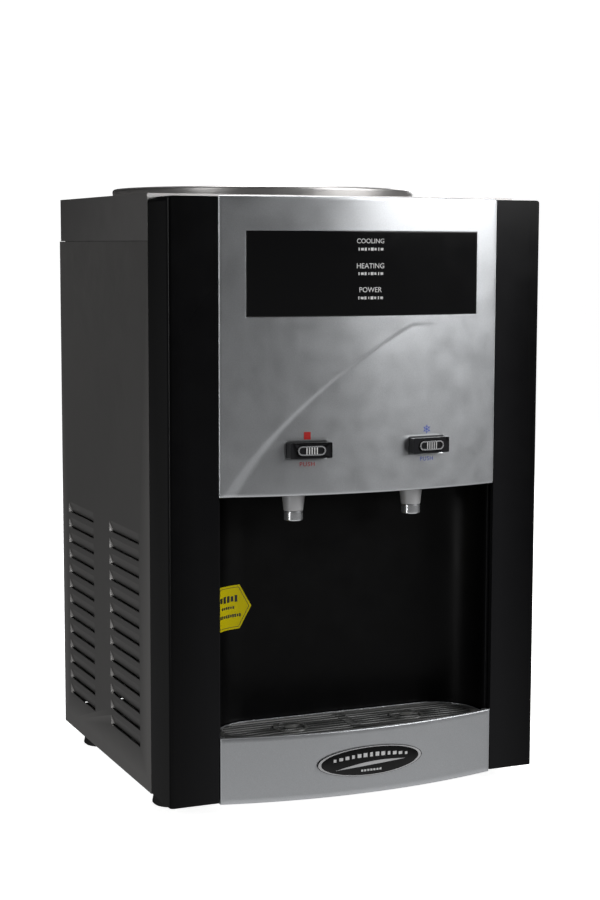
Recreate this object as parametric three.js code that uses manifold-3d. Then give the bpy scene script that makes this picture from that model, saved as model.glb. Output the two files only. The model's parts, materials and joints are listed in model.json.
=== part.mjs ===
// Countertop hot and cold water dispenser, in millimetres, +Z up, +X to the viewer's right, front facing -Y.
// Every piece is drawn in the body frame: Y = 0 is the front face of the two black pillars and Z = 0 is
// their bottom edge. The exported group then moves the whole machine so that its origin is the middle
// of its footprint, on the surface that the feet stand on.
import * as THREE from "three";
import { ConvexGeometry } from "three/addons/geometries/ConvexGeometry.js";
import { mergeVertices } from "three/addons/utils/BufferGeometryUtils.js";
import Module from "manifold-3d";

const wasm = await Module();
wasm.setup();

// ---------------------------------------------------------------- driving dimensions
const BODY_WIDTH = 310;
const BODY_DEPTH = 283.5; // front of the pillars to the rear edge of the steel sides
const FRAME_HEIGHT = 454.6;
const COVER_TOP = 457.5;
const SEAM = 422; // where the top cover meets the steel sides
const BAND_DEPTH = 44.7; // how far the black front frame wraps round the sides
const PILLAR_WIDTH = 39;
const FOOT_HEIGHT = 11;
const GAP = 0.3; // clearance between pieces that touch
const WALL = 2.5; // moulded plastic
const SHEET = 1; // painted steel sheet
const PILLAR_WALL = 3;
const CHEEK = 4; // the fascia and the tray turn back between the pillars by this much

const BULGE = 15.3; // how far the fascia and the tray bow out in front of the pillars
const FASCIA_BOTTOM = 232.6;
const FASCIA_TOP = 455.2;
const ALCOVE_DEPTH = 50;
const ALCOVE_CORNER = 38;
const ALCOVE_TOP = 236;
const TRAY_RIM = 49.8;
const GRILLE_TOP = 48;

const TAP_X = 50; // the two taps stand this far left and right of the middle
const TAP_Y = 14;
const BUTTON_Z = 267.5;
const NOZZLE_BOTTOM = 210.7;
const PAD_HALF_LONG = 10.8; // half the length of a push pad
const FRONTMOST = -22.8; // the inner ends of the push pads
const LEVER_Y = 28; // lever pivot
const LEVER_Z = 251;

const WELL_Y = 199; // the bottle well's vertical axis
const COLLAR_RADIUS = 128;
const COLLAR_TOP = 465.6;
const HOOD_REAR = 329; // the top cover overhangs the condenser at the back
const HOOD_HALF_WIDTH = 138;

const HALF = BODY_WIDTH / 2;
const OPEN_HALF = HALF - PILLAR_WIDTH; // half the opening between the pillars
const BOW_RADIUS = (OPEN_HALF ** 2 + BULGE ** 2) / (2 * BULGE);
const BOW_CENTRE = BOW_RADIUS - BULGE;
const PAD_PROUD = bowY(TAP_X - PAD_HALF_LONG) - FRONTMOST; // how far a pad stands out from the fascia
const BEZEL_PROUD = PAD_PROUD - 0.8;

// ---------------------------------------------------------------- materials
function finish(color, roughness, metalness) {
  return new THREE.MeshStandardMaterial({ color, roughness, metalness });
}

const blackAbs = finish(0x0d0d0f, 0.45, 0);
const blackGloss = finish(0x050506, 0.08, 0);
const silverPaint = finish(0x9a9da1, 0.38, 0.75);
const steelPaint = finish(0x6c6a69, 0.42, 0.6);
const greyPlastic = finish(0x55554f, 0.5, 0);
const chrome = finish(0xd8dade, 0.12, 1);
const satinMetal = finish(0xb9bbbe, 0.35, 0.9);
const rubber = finish(0x101011, 0.8, 0);
const stainless = finish(0xb4b6b8, 0.3, 1);
const galvanised = finish(0x8f9496, 0.5, 0.9);
const copper = finish(0xb06a42, 0.35, 1);
const whitePlastic = finish(0xe9ebec, 0.4, 0);
const foam = finish(0xf1efe8, 0.9, 0);
const silicone = finish(0xd9dcd8, 0.6, 0);
const labelYellow = finish(0xf0e21c, 0.5, 0);
const boardGreen = finish(0x1c5a34, 0.5, 0);
const compressorBlack = finish(0x121314, 0.4, 0.3);
const switchRed = finish(0xa51a16, 0.35, 0);
const switchBlue = finish(0x1f4fa0, 0.35, 0);

// ---------------------------------------------------------------- outlines, as lists of [a, b]
function arc(cx, cy, radius, from, to, steps) {
  const points = [];
  for (let i = 0; i <= steps; i++) {
    const angle = THREE.MathUtils.degToRad(from + ((to - from) * i) / steps);
    points.push([cx + radius * Math.cos(angle), cy + radius * Math.sin(angle)]);
  }
  return points;
}

function circle(cx, cy, radius, steps) {
  return arc(cx, cy, radius, 0, 360, steps).slice(0, -1);
}

function roundedRect(x0, x1, y0, y1, r, steps = 5) {
  return [
    ...arc(x1 - r, y1 - r, r, 0, 90, steps),
    ...arc(x0 + r, y1 - r, r, 90, 180, steps),
    ...arc(x0 + r, y0 + r, r, 180, 270, steps),
    ...arc(x1 - r, y0 + r, r, 270, 360, steps),
  ];
}

function rect(x0, x1, y0, y1) {
  return [[x0, y0], [x1, y0], [x1, y1], [x0, y1]];
}

// How far back the bowed front line is at a given X.
function bowY(x) {
  return BOW_CENTRE - Math.sqrt(BOW_RADIUS ** 2 - x ** 2);
}

// The bowed front line from -halfWidth to halfWidth, set back by inset.
function bow(halfWidth, inset, steps = 22) {
  const radius = BOW_RADIUS - inset;
  const end = THREE.MathUtils.radToDeg(Math.asin(halfWidth / radius));
  return arc(0, BOW_CENTRE, radius, -90 - end, -90 + end, steps);
}

function mirrored(points) {
  return points.map(([x, y]) => [-x, y]).reverse();
}

// ---------------------------------------------------------------- solids
function toSolid(geometry) {
  const plain = geometry.index ? geometry.toNonIndexed() : geometry.clone();
  plain.deleteAttribute("normal");
  plain.deleteAttribute("uv");
  const merged = mergeVertices(plain, 1e-4);
  const vertProperties = new Float32Array(merged.attributes.position.array);
  const triVerts = new Uint32Array(merged.index.array);
  const made = new wasm.Manifold(new wasm.Mesh({ numProp: 3, vertProperties, triVerts }));
  if (made.volume() > 0) return made;
  for (let i = 0; i < triVerts.length; i += 3) {
    [triVerts[i + 1], triVerts[i + 2]] = [triVerts[i + 2], triVerts[i + 1]];
  }
  return new wasm.Manifold(new wasm.Mesh({ numProp: 3, vertProperties, triVerts }));
}

function toGeometry(solid) {
  const mesh = solid.getMesh();
  const geometry = new THREE.BufferGeometry();
  geometry.setAttribute("position", new THREE.BufferAttribute(mesh.vertProperties, 3));
  geometry.setIndex(new THREE.BufferAttribute(mesh.triVerts, 1));
  return geometry;
}

function join(...geometries) {
  return toGeometry(geometries.map(toSolid).reduce((a, b) => a.add(b)));
}

function cut(geometry, ...tools) {
  return toGeometry(tools.map(toSolid).reduce((a, b) => a.subtract(b), toSolid(geometry)));
}

function common(a, b) {
  return toGeometry(toSolid(a).intersect(toSolid(b)));
}

function box(x0, x1, y0, y1, z0, z1) {
  const geometry = new THREE.BoxGeometry(x1 - x0, y1 - y0, z1 - z0);
  return geometry.translate((x0 + x1) / 2, (y0 + y1) / 2, (z0 + z1) / 2);
}

function shapeOf(outline, holes = []) {
  const toVectors = (points) => points.map(([x, y]) => new THREE.Vector2(x, y));
  const shape = new THREE.Shape(toVectors(outline));
  for (const hole of holes) shape.holes.push(new THREE.Path(toVectors(hole)));
  return shape;
}

// An outline drawn in X, Y and raised along Z.
function prismZ(outline, z0, z1, holes) {
  const settings = { depth: z1 - z0, bevelEnabled: false, steps: 1 };
  return new THREE.ExtrudeGeometry(shapeOf(outline, holes), settings).translate(0, 0, z0);
}

// An outline drawn in X, Z and pushed along Y.
function prismY(outline, y0, y1, holes) {
  const settings = { depth: y1 - y0, bevelEnabled: false, steps: 1 };
  const flipped = outline.map(([x, z]) => [x, -z]);
  const flippedHoles = (holes ?? []).map((hole) => hole.map(([x, z]) => [x, -z]));
  const geometry = new THREE.ExtrudeGeometry(shapeOf(flipped, flippedHoles), settings);
  return geometry.rotateX(-Math.PI / 2).translate(0, y0, 0);
}

// An outline drawn in Y, Z and pushed along X.
function prismX(outline, x0, x1) {
  const settings = { depth: x1 - x0, bevelEnabled: false, steps: 1 };
  const geometry = new THREE.ExtrudeGeometry(shapeOf(outline), settings);
  return geometry.rotateX(Math.PI / 2).rotateZ(Math.PI / 2).translate(x0, 0, 0);
}

// A profile of [radius, height] turned about the Z axis through (x, y).
function turned(profile, x, y, steps = 24) {
  const points = profile.map(([r, z]) => new THREE.Vector2(r, z));
  return new THREE.LatheGeometry(points, steps).rotateX(Math.PI / 2).translate(x, y, 0);
}

// The same profile turned about an axis along Y: height runs from the origin towards +Y.
function turnedAlongY(profile, x, y, z, steps = 20) {
  const points = profile.map(([r, h]) => new THREE.Vector2(r, h));
  return new THREE.LatheGeometry(points, steps).translate(x, y, z);
}

function rod(radius, length, steps = 16) {
  return new THREE.CylinderGeometry(radius, radius, length, steps);
}

function rodX(radius, x0, x1, y, z, steps) {
  return rod(radius, x1 - x0, steps).rotateZ(Math.PI / 2).translate((x0 + x1) / 2, y, z);
}

function rodY(radius, x, y0, y1, z, steps) {
  return rod(radius, y1 - y0, steps).translate(x, (y0 + y1) / 2, z);
}

function rodZ(radius, x, y, z0, z1, steps) {
  return rod(radius, z1 - z0, steps).rotateX(Math.PI / 2).translate(x, y, (z0 + z1) / 2);
}

function tube(curve, radius, steps, sides = 8) {
  const section = shapeOf(circle(0, 0, radius, sides));
  return new THREE.ExtrudeGeometry(section, { steps, extrudePath: curve, bevelEnabled: false });
}

function hose(points, radius, steps) {
  return tube(new THREE.CatmullRomCurve3(points.map((p) => new THREE.Vector3(...p))), radius, steps);
}

class Helix extends THREE.Curve {
  constructor(x, y, radius, z0, z1, turns) {
    super();
    Object.assign(this, { x, y, radius, z0, z1, turns });
  }

  getPoint(t, target = new THREE.Vector3()) {
    const angle = 2 * Math.PI * this.turns * t;
    return target.set(
      this.x + this.radius * Math.cos(angle),
      this.y + this.radius * Math.sin(angle),
      this.z0 + (this.z1 - this.z0) * t,
    );
  }
}

// ---------------------------------------------------------------- the assembly
const dispenser = new THREE.Group();

function add(name, geometry, material) {
  const mesh = new THREE.Mesh(toGeometry(toSolid(geometry)), material);
  mesh.name = name;
  dispenser.add(mesh);
  return mesh;
}

// ---------------------------------------------------------------- base and feet
const PAN_BOTTOM = -0.8;
const PAN_TOP = 0.4;
const PAN_FLANGE = 14;
const PAN_HALF = HALF - SHEET - GAP;
const PAN_REAR = BODY_DEPTH - 3;

function basePan() {
  const sheet = PAN_TOP - PAN_BOTTOM;
  const rear = box(-PAN_HALF, PAN_HALF, BAND_DEPTH + GAP, PAN_REAR, PAN_BOTTOM, PAN_TOP);
  const frontHalf = OPEN_HALF - PILLAR_WALL - 0.5;
  const front = box(-frontHalf, frontHalf, CHEEK + 0.5, BAND_DEPTH + 1, PAN_BOTTOM, PAN_TOP);
  const flanges = [-PAN_HALF, PAN_HALF - sheet].map((x0) =>
    box(x0, x0 + sheet, BAND_DEPTH + 2, PAN_REAR, PAN_BOTTOM, PAN_FLANGE),
  );
  const back = box(-PAN_HALF, PAN_HALF, PAN_REAR - sheet, PAN_REAR, PAN_BOTTOM, PAN_FLANGE);
  return join(rear, front, ...flanges, back);
}

const FOOT_X = 137;
const FOOT_Y = [50, 235];
const FOOT_RADIUS = 15;

function foot(x, y) {
  const top = PAN_BOTTOM - GAP;
  const profile = [
    [0, -FOOT_HEIGHT],
    [FOOT_RADIUS - 1.5, -FOOT_HEIGHT],
    [FOOT_RADIUS, -FOOT_HEIGHT + 1.5],
    [FOOT_RADIUS - 1.5, top],
    [0, top],
  ];
  return turned(profile, x, y, 28);
}

add("base_pan", basePan(), galvanised);
for (const [row, y] of [["front", FOOT_Y[0]], ["rear", FOOT_Y[1]]]) {
  add(`foot_${row}_left`, foot(-FOOT_X, y), rubber);
  add(`foot_${row}_right`, foot(FOOT_X, y), rubber);
}

// ---------------------------------------------------------------- front frame: two pillars and a header
const HEADER_FRONT = 6;
const HEADER_BOTTOM = 436;

function pillar(side) {
  const r = 3;
  const outline = [
    [OPEN_HALF, 0],
    ...arc(HALF - r, r, r, -90, 0, 5),
    [HALF, BAND_DEPTH],
    [HALF - PILLAR_WALL, BAND_DEPTH],
    [HALF - PILLAR_WALL, PILLAR_WALL],
    [OPEN_HALF + PILLAR_WALL, PILLAR_WALL],
    [OPEN_HALF + PILLAR_WALL, BAND_DEPTH],
    [OPEN_HALF, BAND_DEPTH],
  ];
  const corner = arc(HALF - r, r, r, -90, 0, 5);
  const cap = [[OPEN_HALF, 0], ...corner, [HALF, BAND_DEPTH], [OPEN_HALF, BAND_DEPTH]];
  const placed = (points) => (side > 0 ? points : mirrored(points));
  return join(
    prismZ(placed(outline), 0, FRAME_HEIGHT),
    prismZ(placed(cap), FRAME_HEIGHT - PILLAR_WALL, FRAME_HEIGHT),
  );
}

function frontFrame() {
  const half = OPEN_HALF + 1;
  const plate = box(-half, half, HEADER_FRONT, HEADER_FRONT + PILLAR_WALL, HEADER_BOTTOM, FRAME_HEIGHT);
  const top = box(-half, half, HEADER_FRONT, BAND_DEPTH, FRAME_HEIGHT - PILLAR_WALL, FRAME_HEIGHT);
  const corner = 4;
  const far = HALF + 5;
  // The pillars' outer top corners are rounded in the front view.
  const rounding = (side) => {
    const x = HALF - corner;
    const z = FRAME_HEIGHT - corner;
    const above = FRAME_HEIGHT + 5;
    const outline = [[far, z], [far, above], [x, above], ...arc(x, z, corner, 90, 0, 5)];
    const placed = side > 0 ? outline : mirrored(outline);
    return prismY(placed, -1, BAND_DEPTH + 1);
  };
  return cut(join(pillar(-1), pillar(1), plate, top), rounding(-1), rounding(1));
}

add("front_frame", frontFrame(), blackAbs);

// ---------------------------------------------------------------- fascia, display and groove
const FASCIA_HALF = OPEN_HALF - GAP;
const WINDOW_HALF = 95.9;
const WINDOW_BOTTOM = 366.6;
const WINDOW_TOP = 429.7;
const WINDOW_THICK = 1.2;
const BEZEL_HALF = 16.2;
const BEZEL_TALL = 11.8;
const GROOVE_DEPTH = 0.9;

function bowedPlate(halfWidth, frontInset, rearInset, z0, z1) {
  return prismZ([...bow(halfWidth, frontInset), ...bow(halfWidth, rearInset).reverse()], z0, z1);
}

// A crescent between two arcs that share the tip high on the right and open towards the lower left.
function grooveOutline() {
  const tip = new THREE.Vector2(36, 359.5);
  const lowerEnd = new THREE.Vector2(-116, 228);
  const upperEnd = new THREE.Vector2(-106, 228);
  const lower = new THREE.QuadraticBezierCurve(tip, new THREE.Vector2(-73, 303), lowerEnd);
  const upper = new THREE.QuadraticBezierCurve(upperEnd, new THREE.Vector2(-67, 306), tip);
  const points = [...lower.getPoints(16), ...upper.getPoints(16).slice(0, -1)];
  return points.map((p) => [p.x, p.y]);
}

function fascia() {
  const shell = bowedPlate(FASCIA_HALF, 0, WALL, FASCIA_BOTTOM, FASCIA_TOP);
  const lip = [...bow(FASCIA_HALF, 1), [FASCIA_HALF, CHEEK], [-FASCIA_HALF, CHEEK]];
  const topRear = HEADER_FRONT - GAP;
  const topEdge = [...bow(FASCIA_HALF, 1), [FASCIA_HALF, topRear], [-FASCIA_HALF, topRear]];
  const bottomLip = prismZ(lip, FASCIA_BOTTOM, FASCIA_BOTTOM + WALL);
  const topLip = prismZ(topEdge, FASCIA_TOP - WALL, FASCIA_TOP);
  const cheeks = [-1, 1].map((side) => {
    const outer = side * FASCIA_HALF;
    const inner = side * (FASCIA_HALF - WALL);
    return box(Math.min(outer, inner), Math.max(outer, inner), 0, CHEEK, FASCIA_BOTTOM, FASCIA_TOP);
  });
  const recess = bowedPlate(WINDOW_HALF + GAP, -2, WINDOW_THICK, WINDOW_BOTTOM - GAP, WINDOW_TOP + GAP);
  const opening = box(-WINDOW_HALF + 6, WINDOW_HALF - 6, -40, 0, WINDOW_BOTTOM + 6, WINDOW_TOP - 6);
  const buttonHoles = [-TAP_X, TAP_X].map((x) => {
    const half = BEZEL_HALF + GAP;
    const tall = BEZEL_TALL / 2 + GAP;
    return box(x - half, x + half, -40, 0, BUTTON_Z - tall, BUTTON_Z + tall);
  });
  const skin = bowedPlate(OPEN_HALF, -2, GROOVE_DEPTH, FASCIA_BOTTOM - 5, FASCIA_TOP);
  const groove = common(prismY(grooveOutline(), -40, 10), skin);
  return cut(join(shell, bottomLip, topLip, ...cheeks), recess, opening, ...buttonHoles, groove);
}

function indicatorBoard() {
  const front = -9.5;
  const board = box(-42, 42, front, front + 1.6, 373, 425);
  const lamps = [386, 403.8, 422.3].map((z) => rodY(2.5, 0, front - 3, front + 0.5, z - 3, 12));
  return join(board, ...lamps);
}

add("fascia", fascia(), silverPaint);
add(
  "display_window",
  bowedPlate(WINDOW_HALF, 0, WINDOW_THICK - GAP, WINDOW_BOTTOM, WINDOW_TOP),
  blackGloss,
);
add("indicator_board", indicatorBoard(), boardGreen);

// ---------------------------------------------------------------- alcove
const LINER_HALF = OPEN_HALF - GAP;

// The alcove's plan from its front left edge round the back to its front right edge, set in by inset.
function alcoveLine(inset, front) {
  const half = LINER_HALF - inset;
  const back = ALCOVE_DEPTH + WALL - inset;
  const r = ALCOVE_CORNER - inset + WALL;
  return [
    [half, front],
    ...arc(half - r, back - r, r, 0, 90, 8),
    ...arc(-half + r, back - r, r, 90, 180, 8),
    [-half, front],
  ];
}

function alcoveLiner() {
  const front = 4.6;
  const bottom = PAN_TOP + GAP;
  const roof = ALCOVE_TOP + WALL;
  const outer = prismZ(alcoveLine(0, front), bottom, roof);
  const inner = prismZ(alcoveLine(WALL, front - 2), bottom - 2, ALCOVE_TOP);
  const tapHoles = [-TAP_X, TAP_X].map((x) => rodZ(9.8, x, TAP_Y, ALCOVE_TOP - 2, roof + 2, 24));
  return cut(outer, inner, ...tapHoles);
}

// A six-sided sticker that follows the alcove's rounded rear left corner.
function warningLabel() {
  const centreX = -90.5;
  const centreZ = 139.5;
  const radius = 20;
  const hexagon = arc(centreX, centreZ, radius, 0, 300, 5);
  const inset = WALL + GAP;
  const thickness = 0.5;
  const outer = alcoveLine(inset, 8);
  const inner = alcoveLine(inset + thickness, 8);
  const skin = prismZ([...outer, ...inner.reverse()], centreZ - radius - 5, centreZ + radius + 5);
  return common(prismY(hexagon, 0, ALCOVE_DEPTH + 5), skin);
}

add("alcove_liner", alcoveLiner(), blackAbs);

// ---------------------------------------------------------------- drip tray and grille
const TRAY_BOTTOM = 1;
const APRON_BOTTOM = -1.2; // the apron hides the front edge of the base pan
const APRON_HALF = OPEN_HALF - 0.8;
const PAN_CLEARANCE = 1;
const TRAY_FLOOR = 3;
const TRAY_LEDGE = 2.2; // the grille rests on a ledge inside the tray's wall
const GRILLE_THICK = 4.3;
const GRILLE_SLOTS = 9;
const SLOT_WIDTH = 2.6;
const SLOT_PITCH = 5.8;
const FIRST_SLOT_Y = -6;
const SPINE_HALF = 4; // a plain strip between the left and right slots
const TARGET_Y = 19; // a ring under each tap shows where a cup goes

// The tray's plan: bowed in front, with square shoulders against the pillars and the alcove's corners behind.
function trayOutline(inset) {
  const body = alcoveLine(WALL + PAN_CLEARANCE + inset, CHEEK);
  return [...bow(LINER_HALF - inset - (inset > 0 ? WALL : 0), inset), ...body];
}

function dripTray() {
  const apronPlan = [...bow(APRON_HALF, 0), [APRON_HALF, CHEEK], [-APRON_HALF, CHEEK]];
  const apron = prismZ(apronPlan, APRON_BOTTOM, TRAY_RIM);
  const pan = prismZ(trayOutline(PAN_CLEARANCE), TRAY_BOTTOM, GRILLE_TOP);
  const above = TRAY_RIM + 2;
  const seat = prismZ(trayOutline(TRAY_LEDGE), GRILLE_TOP - GRILLE_THICK - 0.7, above);
  const basin = prismZ(trayOutline(2 * TRAY_LEDGE), TRAY_BOTTOM + TRAY_FLOOR, above);
  return cut(join(apron, pan), seat, basin);
}

// The slots are shorter at the front, where the tray narrows, and at the back, between the rounded corners.
function slotReach(y) {
  const front = 92 + 0.8 * y;
  const back = 113 - 0.9 * Math.max(0, y - 20);
  return Math.min(OPEN_HALF - 14, front, back);
}

function dripGrille() {
  const top = GRILLE_TOP - 0.4;
  const bottom = top - GRILLE_THICK;
  const plate = prismZ(trayOutline(TRAY_LEDGE + GAP), bottom, top);
  const slots = [];
  for (let i = 0; i < GRILLE_SLOTS; i++) {
    const y = FIRST_SLOT_Y + i * SLOT_PITCH;
    const reach = slotReach(y);
    for (const [x0, x1] of [[-reach, -SPINE_HALF], [SPINE_HALF, reach]]) {
      slots.push(prismZ(rect(x0, x1, y - SLOT_WIDTH / 2, y + SLOT_WIDTH / 2), bottom - 1, top + 1));
    }
  }
  const raised = top + 0.3;
  const targets = [-TAP_X, TAP_X].flatMap((x) => [
    prismZ(circle(x, TARGET_Y, 14, 16), bottom, raised, [circle(x, TARGET_Y, 11.5, 16)]),
    prismZ(circle(x, TARGET_Y, 5, 12), bottom, raised),
  ]);
  return join(cut(plate, ...slots), ...targets);
}

// An oval plate on the apron that follows its bow.
function trayBadge() {
  const centreX = 3;
  const centreZ = 24.4;
  const halfLong = 44.8;
  const halfTall = 11.6;
  const oval = circle(0, 0, 1, 40).map(([x, z]) => [centreX + x * halfLong, centreZ + z * halfTall]);
  const skin = bowedPlate(halfLong + 8, -1.2, -GAP, 0, TRAY_RIM);
  return common(prismY(oval, -40, 10), skin);
}

add("drip_tray", dripTray(), silverPaint);
add("drip_grille", dripGrille(), greyPlastic);
add("tray_badge", trayBadge(), blackGloss);
add("warning_label", warningLabel(), labelYellow);

// ---------------------------------------------------------------- steel sides with pressed louvres
const LOUVRE_ROWS = 13;
const LOUVRE_BOTTOM = 29.5;
const LOUVRE_PITCH = 13.35;
const LOUVRE_TALL = 8.5;
const LOUVRE_DEEP = 2.4; // how far the lower edge of a louvre is pressed in
const LOUVRE_SHALLOW = 0.7; // and its upper edge
const LOUVRE_OPEN = 0.5; // the gap left below the lower edge
const LOUVRE_DRAFT = 2.5; // how far its drawn ends slope
const LOUVRE_COLUMNS = [[71, 148], [191, 265]];
const FLANGE_DEEP = 13;

// A louvre's hollow is a wedge that gets deeper towards its open lower edge. The pressed sheet round it is
// the same wedge, larger all round by the sheet's thickness.
function louvreWedge(y0, y1, z, grown, outerX, low) {
  const deepX = HALF - LOUVRE_DEEP - grown;
  const shallowX = HALF - LOUVRE_SHALLOW - grown;
  const top = z + LOUVRE_TALL + grown;
  const front = y0 - grown;
  const rear = y1 + grown;
  const points = [[outerX, front, low], [outerX, rear, low], [outerX, front, top], [outerX, rear, top]];
  for (const [x, height] of [[deepX, low], [deepX, z + 0.5], [shallowX, top - 0.5]]) {
    points.push([x, front + LOUVRE_DRAFT, height], [x, rear - LOUVRE_DRAFT, height]);
  }
  return new ConvexGeometry(points.map((p) => new THREE.Vector3(...p)));
}

function sidePanel(side) {
  const x = HALF - SHEET;
  const sheet = box(x, HALF, BAND_DEPTH + GAP, BODY_DEPTH, PAN_BOTTOM, SEAM);
  const flange = box(x - FLANGE_DEEP, x + 0.2, BODY_DEPTH - SHEET, BODY_DEPTH, PAN_BOTTOM, SEAM);
  const pressed = [];
  const hollows = [];
  for (const [y0, y1] of LOUVRE_COLUMNS) {
    for (let row = 0; row < LOUVRE_ROWS; row++) {
      const z = LOUVRE_BOTTOM + row * LOUVRE_PITCH;
      pressed.push(louvreWedge(y0, y1, z, SHEET, HALF - 0.2, z));
      hollows.push(louvreWedge(y0, y1, z, 0, HALF + 0.5, z - LOUVRE_OPEN));
    }
  }
  const made = cut(join(sheet, flange, ...pressed), ...hollows);
  return side > 0 ? made : made.scale(-1, 1, 1);
}

add("side_panel_left", sidePanel(-1), steelPaint);
add("side_panel_right", sidePanel(1), steelPaint);

// ---------------------------------------------------------------- rear panel
const REAR_PANEL_Y = BODY_DEPTH - SHEET - GAP - 1.2;
const SWITCH_Z = 385;
const SWITCH_X = -112;
const ROCKER_AXLE_Y = REAR_PANEL_Y - 3;
const ROCKER_TILT = -THREE.MathUtils.degToRad(7);
const GLAND_X = -112;
const GLAND_Z = 40;
const DRAIN_X = 112;
const DRAIN_Z = 60;

function rearPanel() {
  const half = HALF - SHEET - GAP;
  const sheet = box(-half, half, REAR_PANEL_Y, REAR_PANEL_Y + 1.2, PAN_FLANGE + GAP, SEAM - GAP);
  const slots = [];
  for (let row = 0; row < 7; row++) {
    const z = 70 + row * 12;
    slots.push(prismY(rect(-70, 70, z, z + 3.4), REAR_PANEL_Y - 5, REAR_PANEL_Y + 5));
  }
  const switchOutline = rect(SWITCH_X - 15, SWITCH_X + 15, SWITCH_Z - 24, SWITCH_Z + 24);
  const switchHole = prismY(switchOutline, REAR_PANEL_Y - 5, REAR_PANEL_Y + 5);
  const glandHole = rodY(8, GLAND_X, REAR_PANEL_Y - 5, REAR_PANEL_Y + 5, GLAND_Z, 20);
  const drainHole = rodY(9, DRAIN_X, REAR_PANEL_Y - 5, REAR_PANEL_Y + 5, DRAIN_Z, 20);
  return cut(sheet, ...slots, switchHole, glandHole, drainHole);
}

function cordGland() {
  const y = REAR_PANEL_Y;
  const profile = [[4, -6], [7.7, -6], [7.7, 1.2 + GAP], [11, 1.2 + GAP], [9, 5], [4, 5], [4, -6]];
  return turnedAlongY(profile, GLAND_X, y, GLAND_Z, 18);
}

function switchHousing() {
  const rear = REAR_PANEL_Y + 1.2 + GAP;
  const body = box(SWITCH_X - 14.6, SWITCH_X + 14.6, rear - 22, rear + 0.5, SWITCH_Z - 23.6, SWITCH_Z + 23.6);
  const flange = box(SWITCH_X - 18, SWITCH_X + 18, rear, rear + 2, SWITCH_Z - 27, SWITCH_Z + 27);
  const wells = [-12, 12].map((dz) => {
    const z = SWITCH_Z + dz;
    return box(SWITCH_X - 10, SWITCH_X + 10, rear - 10, rear + 5, z - 8.5, z + 8.5);
  });
  return cut(join(body, flange), ...wells);
}

// A rocker tips about an axle along X. It rests with its lower half pressed in.
function rocker(dz) {
  const outline = [[-2.5, -4], [5, -7.2], [7, -7.2], [5.4, 0], [7, 7.2], [5, 7.2], [-2.5, 4]];
  const key = prismX(outline, SWITCH_X - 9.5, SWITCH_X + 9.5);
  return key.rotateX(ROCKER_TILT).translate(0, ROCKER_AXLE_Y, SWITCH_Z + dz);
}

function drainFitting() {
  const y = REAR_PANEL_Y;
  const profile = [
    [3.5, -24], [6.5, -24], [6.5, -2.5], [12, -2.5], [12, -GAP],
    [8.6, -GAP], [8.6, 3], [7, 3], [7, 14], [3.5, 14],
    [3.5, -24],
  ];
  return turnedAlongY(profile, DRAIN_X, y, DRAIN_Z, 20);
}

function drainCap() {
  const y = REAR_PANEL_Y + 4;
  const profile = [[0, 13], [10, 13], [11, 12], [11, 0], [7 + GAP, 0], [7 + GAP, 10 + GAP], [0, 10 + GAP]];
  return turnedAlongY(profile, DRAIN_X, y, DRAIN_Z, 20);
}

add("rear_panel", rearPanel(), galvanised);
add("cord_gland", cordGland(), rubber);
add("switch_housing", switchHousing(), blackAbs);
add("hot_switch_rocker", rocker(12), switchRed);
add("cold_switch_rocker", rocker(-12), switchBlue);
add("drain_fitting", drainFitting(), whitePlastic);
add("drain_cap", drainCap(), blackAbs);

// ---------------------------------------------------------------- top cover, collar and water guard
const COVER_CORNER = 4;
const HOOD_CORNER = 42;
const WELL_RADIUS = 112;

function coverOutline(inset) {
  const half = HALF - inset;
  const rear = BODY_DEPTH - inset;
  const hood = HOOD_HALF_WIDTH - inset;
  const r = COVER_CORNER;
  const big = HOOD_CORNER - inset;
  const right = [
    [half, BAND_DEPTH + GAP + inset],
    ...arc(half - r, rear - r, r, 0, 90, 4),
    [hood, rear],
    ...arc(hood - big, HOOD_REAR - inset - big, big, 0, 90, 8),
  ];
  return [...right, ...mirrored(right)];
}

function topCover() {
  const skirt = prismZ(coverOutline(0), SEAM + GAP, COVER_TOP);
  const inside = prismZ(coverOutline(WALL), SEAM - 2, COVER_TOP - WALL);
  const well = rodZ(WELL_RADIUS, 0, WELL_Y, COVER_TOP - 10, COVER_TOP + 5, 48);
  const behindBody = box(-HALF, HALF, BODY_DEPTH - 3, BODY_DEPTH + 80, SEAM, COVER_TOP);
  const underside = common(prismZ(coverOutline(0), SEAM + GAP, SEAM + GAP + WALL), behindBody);
  return join(cut(skirt, inside, well), underside);
}

function bottleCollar() {
  const base = COVER_TOP + GAP;
  const profile = [
    [WELL_RADIUS + 1, base], [COLLAR_RADIUS - 1.2, base], [COLLAR_RADIUS - 0.2, COLLAR_TOP - 3],
    [COLLAR_RADIUS - 0.7, COLLAR_TOP - 1], [COLLAR_RADIUS - 2.2, COLLAR_TOP], [COLLAR_RADIUS - 7, COLLAR_TOP],
    [COLLAR_RADIUS - 10, COLLAR_TOP - 1.5], [WELL_RADIUS + 1, COLLAR_TOP - 5.5], [WELL_RADIUS + 1, base],
  ];
  return turned(profile, 0, WELL_Y, 48);
}

// The lift-out guard: a dished funnel with a neck that reaches down into the cold tank.
function waterGuard() {
  const rim = COVER_TOP + 1.5;
  const profile = [
    [WELL_RADIUS - 1, COVER_TOP - 6], [WELL_RADIUS - 1, rim],
    [WELL_RADIUS - 4, rim], [WELL_RADIUS - 5, COVER_TOP - 4],
    [60, 425], [44, 408], [14, 402], [14, 380], [11.5, 380], [11.5, 399.5], [46, 405], [62, 422],
  ];
  return turned([...profile, profile[0]], 0, WELL_Y, 36);
}

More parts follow.
